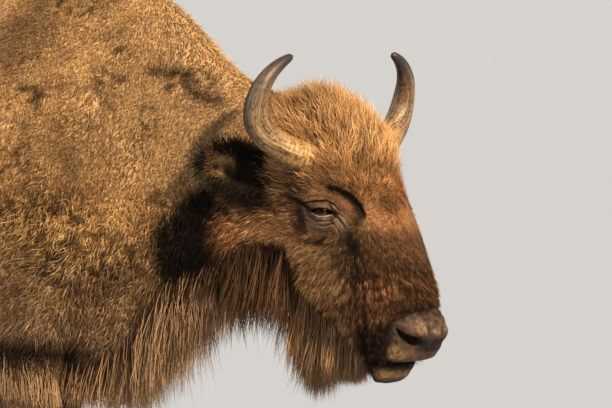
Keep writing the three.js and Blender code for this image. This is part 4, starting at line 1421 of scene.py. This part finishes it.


# Looks of the short tufts, then of the locks. Width, size of clumps and curl are in millimetres, the rest are shares;
# gap is the painted shade at the edges of clumps.
FACE_LOOK = {"width": 2.2, "typical": 28, "curl": 2.0, "clump": 13, "pull": 0.42, "gap": 0.76, "droop": 0.12,
             "mess": 0.13, "even": 1.0, "fleck": 0.4}
BROW_LOOK = {"width": 2.2, "typical": 60, "curl": 5.0, "clump": 20, "pull": 0.4, "gap": 0.55, "droop": 0.05,
             "mess": 0.2, "even": 0.8, "fleck": 0.35}
WOOL_LOOK = {"width": 2.5, "typical": 24, "curl": 2.0, "clump": 18, "pull": 0.5, "gap": 0.8, "droop": 0.15,
             "mess": 0.34, "even": 0.2, "fleck": 0.3}
FLANK_LOOK = {"width": 4.6, "typical": 30, "curl": 3.0, "clump": 34, "pull": 0.4, "gap": 0.3, "droop": 0.1,
              "mess": 0.16, "even": 0.6, "fleck": 0.1}
LEG_LOOK = {"width": 3.6, "typical": 20, "curl": 0.8, "clump": 22, "pull": 0.25, "gap": 0.35, "droop": 0.1,
            "mess": 0.08, "even": 1.0, "fleck": 0.2}
MANE_LOOK = {"way": (-0.08, 0, -1), "fall": (0.03, 0, -1), "lift": 0.4, "clump": 52, "pull": 0.26, "width": 3.3,
             "curl": 7.0, "gap": 0.25, "shade": SHADES["mane"], "dye": 0.85, "sweep": 0.9}
THROAT_LOOK = {"way": (-0.25, 0, -0.9), "fall": (-0.12, 0, -1), "lift": 0.4, "clump": 30, "pull": 0.34, "width": 2.6,
               "curl": 4.0, "gap": 0.5, "shade": SHADES["throat"], "dye": 0.9, "sweep": 0.9}
BEARD_LOOK = {"way": (-0.3, 0.1, -1), "fall": (0, 0, -1), "lift": 0.45, "clump": 34, "pull": 0.4, "width": 3.2,
              "curl": 6.0, "gap": 0.55, "shade": SHADES["beard"], "dye": 0.75, "sweep": 0.0}
TAIL_LOOK = {"way": (-0.1, 0, -1), "fall": (0, 0, -1), "lift": 0.35, "clump": 22, "pull": 0.5, "width": 5.0,
             "curl": 5.0, "gap": 0.4, "shade": SHADES["dark"], "dye": 0.7, "sweep": 0.0}


def ear_marks(points, normals):
    """The ears' colour, how near the rim each point lies and its way across: tan inside towards the tip, dark hair
    outside and along the rim, and the same dark in the opening as painted shade."""
    local, facing = to_head(points), normals @ HEAD_AXES
    # one dark colour for the dark hair and, in the ear's opening, for painted shade
    colour, rim = np.tile(SHADES["darkest"] * 1.1, (len(points), 1)), np.zeros(len(points))
    way, aside = np.zeros_like(local), np.zeros_like(local)
    for side in SIDES.values():
        own = local[:, 1] * side > 0
        along, across, front = ear_axes(side)
        at = local - EAR_ROOT * [1, side, 1]
        share, tip = (at @ across) / (EAR_WIDTH / 2), (at @ along) / np.linalg.norm(EAR_TIP - EAR_ROOT)
        edge = np.maximum(step(0.42, 0.7, np.abs(share)), step(0.8, 0.94, tip))
        tan = step(0.0, 0.5, facing @ front) * (1 - edge) * step(0.5, 0.66, tip)
        tan = tan * step(-0.9, -0.1, noise(local, 17, 87))
        colour = blend(colour, SHADES["ear"], tan * own)
        rim = np.where(own, edge, rim)
        way[own], aside[own] = along @ HEAD_AXES.T, ((share[:, None] * across) @ HEAD_AXES.T)[own]
    return colour, rim, way, aside


INNER_EAR = 14  # length of the hair inside the ears


def make_ear_hair(skin, count, lengths, seed):
    """Hair along the ears: short and tan inside, a long dark fringe at the edges."""
    roots, normals = scatter(skin, count, lambda p, n, ear: ear * (1 + 2.5 * ear_marks(p, n)[1]), seed)
    rng = np.random.default_rng(seed + 1)
    colour, rim, way, aside = ear_marks(roots, normals)
    start = unit(way * (1 - 0.5 * rim[:, None]) + 1.1 * rim[:, None] * aside + 0.3 * normals
                 + 0.28 * rng.normal(size=(count, 3)))
    end = unit(start + [0, 0, -0.25] + 0.3 * rng.normal(size=(count, 3)))
    length = (INNER_EAR + (lengths.ear_fringe - INNER_EAR) * rim) * (0.6 + 0.7 * rng.random(count))
    width = 2.6 * (0.7 + 0.6 * rng.random(count))
    return build_tufts("ear_hair", roots, normals, start, end, length, width, 2, np.full(count, 2.0),
                       np.zeros((count, 3)), colour, unwrap_ears, seed + 2)


LASH = {"length": 11, "width": 0.9, "curl": 0.4}


def make_lashes(count, seed):
    """Lashes along the upper lid of each eye, rooted on its rim and curving out and down."""
    rng = np.random.default_rng(seed)
    share = np.tile(np.linspace(-0.92, 0.95, count), 2) + rng.normal(size=2 * count) * 0.01
    side = np.repeat([-1, 1], count)
    a = EYE_OPENING["middle"] + EYE_OPENING["half"] * share
    b = upper_lid(share) + 0.4
    out = over_ball(EYE_BALL["radius"] + LID["upper"] - 0.8, np.hypot(a - EYE_BALL["back"], b))
    one = np.ones(2 * count)
    flip = np.column_stack([one, side, one])
    look = EYE_LOOK * flip
    forwards = EYE_LOOK[[1, 0, 2]] * np.column_stack([one, -side, 0 * one])
    places = (EYE_PLACE * flip + a[:, None] * forwards + (b + LID_SLOPE * a)[:, None] * [0, 0, 1]
              + out[:, None] * look)
    start = unit(look + 0.35 * share[:, None] * forwards + [0, 0, -0.25] + 0.08 * rng.normal(size=(2 * count, 3)))
    end = unit(look + 0.5 * share[:, None] * forwards + [0, 0, -0.1] + 0.08 * rng.normal(size=(2 * count, 3)))
    roots, start, end = from_head(places), start @ HEAD_AXES.T, end @ HEAD_AXES.T
    normals = np.tile(HEAD_AXES[:, 2], (2 * count, 1))
    length = LASH["length"] * (0.7 + 0.5 * rng.random(2 * count))
    return build_tufts("lashes", roots, normals, start, end, length, LASH["width"] * one, 2, LASH["curl"] * one,
                       np.zeros((2 * count, 3)), plain("#1c120c", 2 * count), unwrap_head, seed + 1)


# ---- what a user may change ----


def length_setting(name, description, value):
    return FloatProperty(name=name, description=f"{description}, in millimetres", default=value, min=2, max=300)


class WisentStage(bpy.types.PropertyGroup):
    """The camera and the light"""
    azimuth: FloatProperty(name="Azimuth", description="Angle of the camera round the animal", subtype="ANGLE",
                           default=np.radians(14.0))
    elevation: FloatProperty(name="Elevation", description="Angle of the camera above the level", subtype="ANGLE",
                             default=np.radians(3.0))
    distance: FloatProperty(name="Distance", description="Distance of the camera from the head", unit="LENGTH",
                            default=9.0)
    lens: FloatProperty(name="Lens", description="Focal length in millimetres", default=228.0)
    key_strength: FloatProperty(name="Key light", description="Strength of the warm light", default=5.6)
    fill_strength: FloatProperty(name="Fill light", description="Strength of the light from all round", default=0.58)
    sky_colour: FloatVectorProperty(name="Surroundings", description="Colour of the light from all round",
                                    subtype="COLOR", size=3, default=(1.0, 0.97, 0.93))


class WisentSkin(bpy.types.PropertyGroup):
    """How fine the skin is"""
    voxel: FloatProperty(name="Mesh size", description="Width of the skin's faces away from the head, in millimetres",
                         default=14.0, min=6, max=40)


class WisentCoat(bpy.types.PropertyGroup):
    """How long and how full the coat is"""
    face: length_setting("Face", "Length of the hair on the cheeks and nose", 30.0)
    forehead: length_setting("Forehead", "Length of the hair on the forehead", 62.0)
    jaw: length_setting("Jaw", "Length of the hair at the back of the jaw", 40.0)
    neck: length_setting("Neck", "Length of the wool on neck, hump and shoulder", 36.0)
    flank: length_setting("Flank", "Length of the coat on flank and rump", 32.0)
    leg: length_setting("Leg", "Length of the coat on the legs", 20.0)
    ear_fringe: length_setting("Ear fringe", "Length of the fringe of the ears", 40.0)
    fullness: FloatProperty(name="Fullness", description="Number of tufts, as a share of the full coat", default=1.0,
                            min=0.02, max=1.0)
    seed: IntProperty(name="Seed", description="Start of the random draws", default=SEED)


# ---- operators ----


def camera_axes(azimuth, elevation):
    """The camera's right, up and backward axes."""
    right = np.array([np.cos(azimuth), np.sin(azimuth), 0])
    back = np.array([np.sin(azimuth) * np.cos(elevation), -np.cos(azimuth) * np.cos(elevation), np.sin(elevation)])
    return right, np.cross(back, right), back


def place_object(name, data, place, back, up):
    """Puts a camera or light at a place, its own +Z axis along `back`."""
    item = bpy.data.objects.new(name, data)
    bpy.context.scene.collection.objects.link(item)
    right = unit(np.cross(up, back))
    turned = np.eye(4)
    turned[:3, :3] = np.column_stack([right, np.cross(back, right), back])
    turned[:3, 3] = place
    item.matrix_world = Matrix(turned.tolist())
    return item


AIM = (0.079, 0.156)  # the camera's aim, left of and below the head's middle as it sees it, in metres
FLOOR_HALF = 2000.0


class WISENT_OT_stage(bpy.types.Operator):
    """Makes the camera, a wide pale floor and soft warm light"""
    bl_idname = "wisent.stage"
    bl_label = "Stage"

    def execute(self, context):
        settings = context.scene.wisent_stage
        right, up, back = camera_axes(settings.azimuth, settings.elevation)
        camera = bpy.data.cameras.new("camera")
        camera.lens = settings.lens
        camera.sensor_width = 36.0
        camera.clip_end = 1000.0
        target = HEAD_ORIGIN - AIM[0] * right - AIM[1] * up
        context.scene.camera = place_object("camera", camera, target + settings.distance * back, back, up)
        corners = np.array([[-1, -1, 0], [1, -1, 0], [1, 1, 0], [-1, 1, 0]])
        floor_mesh = new_mesh("floor", FLOOR_HALF * corners, np.array([[0, 1, 2, 3]]))
        floor = bpy.data.objects.new("floor", floor_mesh)
        context.scene.collection.objects.link(floor)
        falling = settings.fill_strength * np.array(settings.sky_colour)
        world = bpy.data.worlds.new("studio")
        context.scene.world = world
        context.scene.view_settings.view_transform = "Standard"
        context.scene.view_settings.look = "Medium High Contrast"
        world.use_nodes = True
        sky = world.node_tree.nodes["Background"]
        sky.inputs["Color"].default_value = with_alpha(settings.sky_colour)
        sky.inputs["Strength"].default_value = settings.fill_strength
        lamps = (("key", settings.key_strength, "#ffe9cb", 4, 0.46 * right + 0.43 * up + 0.77 * back),
                 ("fill", settings.key_strength * 0.16, "#e6ecff", 60, -0.8 * right + 0.4 * up + 0.6 * back))
        for name, strength, code, spread, towards in lamps:
            falling = falling + strength * srgb(code) * unit(towards)[2] / np.pi
            lamp = bpy.data.lights.new(name, "SUN")
            lamp.energy = strength
            lamp.color = srgb(code)
            lamp.angle = np.radians(spread)
            place_object(name, lamp, [0, 0, 5], unit(towards), up)
        # a floor of this colour, in this light, looks the same as the surroundings, so no horizon shows
        floor_mesh.materials.append(floor_material(settings.fill_strength * np.array(settings.sky_colour) / falling))
        return {"FINISHED"}


class WISENT_OT_skin(bpy.types.Operator):
    """Makes one skin over head, neck, trunk, ears, legs and tail"""
    bl_idname = "wisent.skin"
    bl_label = "Skin"

    def execute(self, context):
        mesh = make_skin(context.scene.wisent_skin.voxel)
        points, ear = read_points(mesh), read_ears(mesh)
        paint(mesh, "Markings", np.where(ear[:, None] > 0.5, ear_marks(points, read_points(mesh, "normal"))[0],
                                         markings(points)))
        carry(mesh, "Bare", bare_part(points) * (1 - ear))
        flesh = ["head", "neck", "trunk", "tail"] + [f"ear_{side}" for side in SIDES] + [f"leg_{foot}" for foot in FEET]
        add_piece("skin", mesh, "coat", hide_material(), *flesh)
        return {"FINISHED"}


class WISENT_OT_eyes(bpy.types.Operator):
    """Makes the two eyeballs"""
    bl_idname = "wisent.eyes"
    bl_label = "Eyes"

    def execute(self, context):
        material = eyeball_material()
        for name, side in SIDES.items():
            add_piece(f"eyeball_{name}", make_eye(side), "eye", material, f"eye_{name}")
        return {"FINISHED"}


class WISENT_OT_horns(bpy.types.Operator):
    """Makes the two horns, ringed at the base and smooth at the tip"""
    bl_idname = "wisent.horns"
    bl_label = "Horns"

    def execute(self, context):
        material = keratin_material("horn keratin", 2.4, 1.0, 0.42)
        for name, side in SIDES.items():
            add_piece(f"horn_sheath_{name}", make_horn(side), "horn", material, f"horn_{name}")
        return {"FINISHED"}


class WISENT_OT_hooves(bpy.types.Operator):
    """Makes the claws and dewclaws of the four feet"""
    bl_idname = "wisent.hooves"
    bl_label = "Hooves"

    def execute(self, context):
        material = keratin_material("hoof keratin", 2.2, 0.6, 0.5)
        for foot in FEET:
            nodes = [f"{part}_{foot}_{half}" for part in ("hoof", "dewclaw") for half in ("inner", "outer")]
            add_piece(f"claws_{foot}", make_hooves(foot), "hoof", material, *nodes)
        return {"FINISHED"}


RUMP_END = -1165  # no short coat behind this, where the tail begins


def skin_mesh():
    piece = bpy.data.objects.get("skin")
    if piece is None:
        raise RuntimeError("make the skin first")
    return piece.data


def hair():
    return bpy.data.materials.get("guard hair") or hair_material()


def right_side(points):
    return to_body(points)[:, 1] < curve(BEND, to_body(points)[:, 0])


class WISENT_OT_head_coat(bpy.types.Operator):
    """Makes the short coat of the face, the deep hair of the forehead, the ear hair and the lashes"""
    bl_idname = "wisent.head_coat"
    bl_label = "Coat of the head"

    def execute(self, context):
        coat, skin, material = context.scene.wisent_coat, skin_mesh(), hair()

        def covered(points, ear):
            return head_part(to_body(points)) * (1 - bare_part(points)) ** 2 * ~ear

        def brow(points, normals, ear):
            u = to_head(points)[:, 2]
            return covered(points, ear) * step(-170, -90, u)

        def cheek(right):
            def weigh(points, normals, ear):
                f, o, u = to_head(points).T
                fine = 1 + 1.6 * step(20, 110, f)
                chin = (f > 100) & (u < -535)
                return covered(points, ear) * step(-90, -150, u) * ((o < 0) == right) * fine * ~chin
            return weigh

        pieces = (("forehead_hair", 15000, 2, brow, BROW_LOOK, 10),
                  ("face_hair_right", 31000, 1, cheek(True), FACE_LOOK, 20),
                  ("face_hair_left", 12000, 1, cheek(False), FACE_LOOK, 30))
        for name, count, rings, weigh, look, seed in pieces:
            mesh = short_coat(skin, name, int(count * coat.fullness), rings, weigh, unwrap_head, coat, look,
                              coat.seed + seed)
            add_piece(name, mesh, "coat", material)
        ear_hair = make_ear_hair(skin, int(5500 * coat.fullness), coat, coat.seed + 40)
        add_piece("ear_hair", ear_hair, "dark_coat", material)
        add_piece("lashes", make_lashes(70, coat.seed + 50), "dark_coat", material)
        return {"FINISHED"}


class WISENT_OT_body_coat(bpy.types.Operator):
    """Makes the wool of neck and shoulder and the flat coat of flank, rump and legs"""
    bl_idname = "wisent.body_coat"
    bl_label = "Coat of the body"

    def execute(self, context):
        coat, skin, material = context.scene.wisent_coat, skin_mesh(), hair()

        def trunk(low, high, right=None, fine=None):
            def weigh(points, normals, ear):
                x, _, z = to_body(points).T
                on_leg = (z < np.where(x > -200, 690, 790)) & ~ear & (x < 480)
                weight = (1 - head_part(to_body(points))) * (x > low) * (x <= high) * ~on_leg * ~ear * (x > RUMP_END)
                if right is not None:
                    weight = weight * (right_side(points) == right)
                return weight * (fine(x, z) if fine else 1)
            return weigh

        def ahead(x, z):
            return 0.3 + 0.7 * step(240, 290, x)

        def legs(points, normals, ear):
            x, _, z = to_body(points).T
            return (z < np.where(x > -200, 700, 800)) * (x < 480) * (x > RUMP_END) * (1 + 0.8 * step(400, 200, z))

        pieces = (("neck_wool_right", 33000, 1, trunk(470, 1200, True), WOOL_LOOK, 100, unwrap_trunk),
                  ("neck_wool_left", 10000, 1, trunk(470, 1200, False), WOOL_LOOK, 110, unwrap_trunk),
                  ("shoulder_wool_right", 32000, 1, trunk(120, 470, True, ahead), WOOL_LOOK, 120, unwrap_trunk),
                  ("shoulder_wool_left", 10000, 1, trunk(120, 470, False), WOOL_LOOK, 130, unwrap_trunk),
                  ("flank_coat", 20000, 1, trunk(-1200, 120), FLANK_LOOK, 140, unwrap_trunk),
                  ("leg_coat", 12500, 1, legs, LEG_LOOK, 150, unwrap_legs))
        for name, count, rings, weigh, look, seed, unwrap in pieces:
            mesh = short_coat(skin, name, int(count * coat.fullness), rings, weigh, unwrap, coat, look,
                              coat.seed + seed)
            add_piece(name, mesh, "dark_coat" if name == "leg_coat" else "coat", material)
        return {"FINISHED"}


class WISENT_OT_long_coat(bpy.types.Operator):
    """Makes the hanging hair of the mane, the throat, the beard and the tail"""
    bl_idname = "wisent.long_coat"
    bl_label = "Mane, throat, beard and tail"

    def execute(self, context):
        coat, skin, material = context.scene.wisent_coat, skin_mesh(), hair()

        def mane(points, normals, ear):
            body = to_body(points)
            weight = mane_part(body) * (1 - head_part(body)) * ~ear * (body[:, 2] > 560)
            return weight * (0.5 + step(0.3, -0.6, normals[:, 2])) * (1 + 0.8 * right_side(points))

        def mane_length(points):
            x, _, z = to_body(points).T
            above = z - curve(MANE_EDGE, x)
            return np.clip(1.28 * above + 8, 34, 235) * (0.4 + 0.6 * step(330, 190, above))

        def throat(points, normals, ear):
            x, _, z = to_body(points).T
            above = z - 975 + 0.57 * np.maximum(840 - x, 0)
            side = step(-110, -70, above) * step(45, 10, above) * step(560, 640, x)
            return np.maximum(side, (z < 1010) * (x > 830)) * step(975, 940, x) * ~ear * step(0.5, 0.1, normals[:, 2])

        def throat_length(points):
            x, _, z = to_body(points).T
            return np.clip(z - curve(THROAT_EDGE, x) + 6, 50, 215)

        def beard(points, normals, ear):
            local = to_head(points)
            return beard_part(local) * ~ear * (1 - bare_part(points)) * step(106, 90, local[:, 0])

        def beard_length(points):
            f, _, u = to_head(points).T
            return np.clip(u - curve(BEARD_EDGE, f) + 6, 40, 230)

        def tail(points, normals, ear):
            x, _, z = to_body(points).T
            return (x < -1140) * step(0, 20, np.abs(x + 1100)) * (1 + 1.4 * step(950, 800, z)) * (z > 640)

        def tail_length(points):
            z = to_body(points)[:, 2]
            return 55 + 95 * step(1050, 820, z) * step(640, 720, z) + 40 * step(720, 640, z)

        pieces = (("mane_hair", 10400, 3, mane, mane_length, unwrap_trunk, MANE_LOOK, 200),
                  ("throat_hair", 5200, 3, throat, throat_length, unwrap_trunk, THROAT_LOOK, 205),
                  ("beard_hair", 7600, 3, beard, beard_length, unwrap_head, BEARD_LOOK, 210),
                  ("tail_hair", 2200, 3, tail, tail_length, unwrap_trunk, TAIL_LOOK, 220))
        for name, count, rings, weigh, length_of, unwrap, look, seed in pieces:
            mesh = long_coat(skin, name, int(count * coat.fullness), rings, weigh, length_of, unwrap, look,
                             coat.seed + seed)
            add_piece(name, mesh, "dark_coat", material)
        return {"FINISHED"}


class WISENT_PT_panel(bpy.types.Panel):
    """Lists the settings and the operators"""
    bl_label = "Wisent"
    bl_idname = "WISENT_PT_panel"
    bl_space_type = "VIEW_3D"
    bl_region_type = "UI"
    bl_category = "Wisent"

    def draw(self, context):
        for title, settings in (("Stage", context.scene.wisent_stage), ("Skin", context.scene.wisent_skin),
                                ("Coat", context.scene.wisent_coat)):
            box = self.layout.box()
            box.label(text=title)
            for name in settings.bl_rna.properties.keys():
                if name not in ("rna_type", "name"):
                    box.prop(settings, name)
        for operator in OPERATORS:
            self.layout.operator(operator.bl_idname)


OPERATORS = (WISENT_OT_stage, WISENT_OT_skin, WISENT_OT_eyes, WISENT_OT_horns, WISENT_OT_hooves, WISENT_OT_head_coat,
             WISENT_OT_body_coat, WISENT_OT_long_coat)
SETTINGS = {"wisent_stage": WisentStage, "wisent_skin": WisentSkin, "wisent_coat": WisentCoat}


def register():
    for kind in (*SETTINGS.values(), *OPERATORS, WISENT_PT_panel):
        bpy.utils.register_class(kind)
    for name, kind in SETTINGS.items():
        setattr(bpy.types.Scene, name, PointerProperty(type=kind))


def unregister():
    for name in SETTINGS:
        delattr(bpy.types.Scene, name)
    for kind in (WISENT_PT_panel, *OPERATORS[::-1], *SETTINGS.values()):
        bpy.utils.unregister_class(kind)


def main():
    register()
    bpy.ops.wisent.stage()
    bpy.ops.wisent.skin()
    bpy.ops.wisent.eyes()
    bpy.ops.wisent.horns()
    bpy.ops.wisent.hooves()
    bpy.ops.wisent.head_coat()
    bpy.ops.wisent.body_coat()
    bpy.ops.wisent.long_coat()


if __name__ == "__main__":
    main()
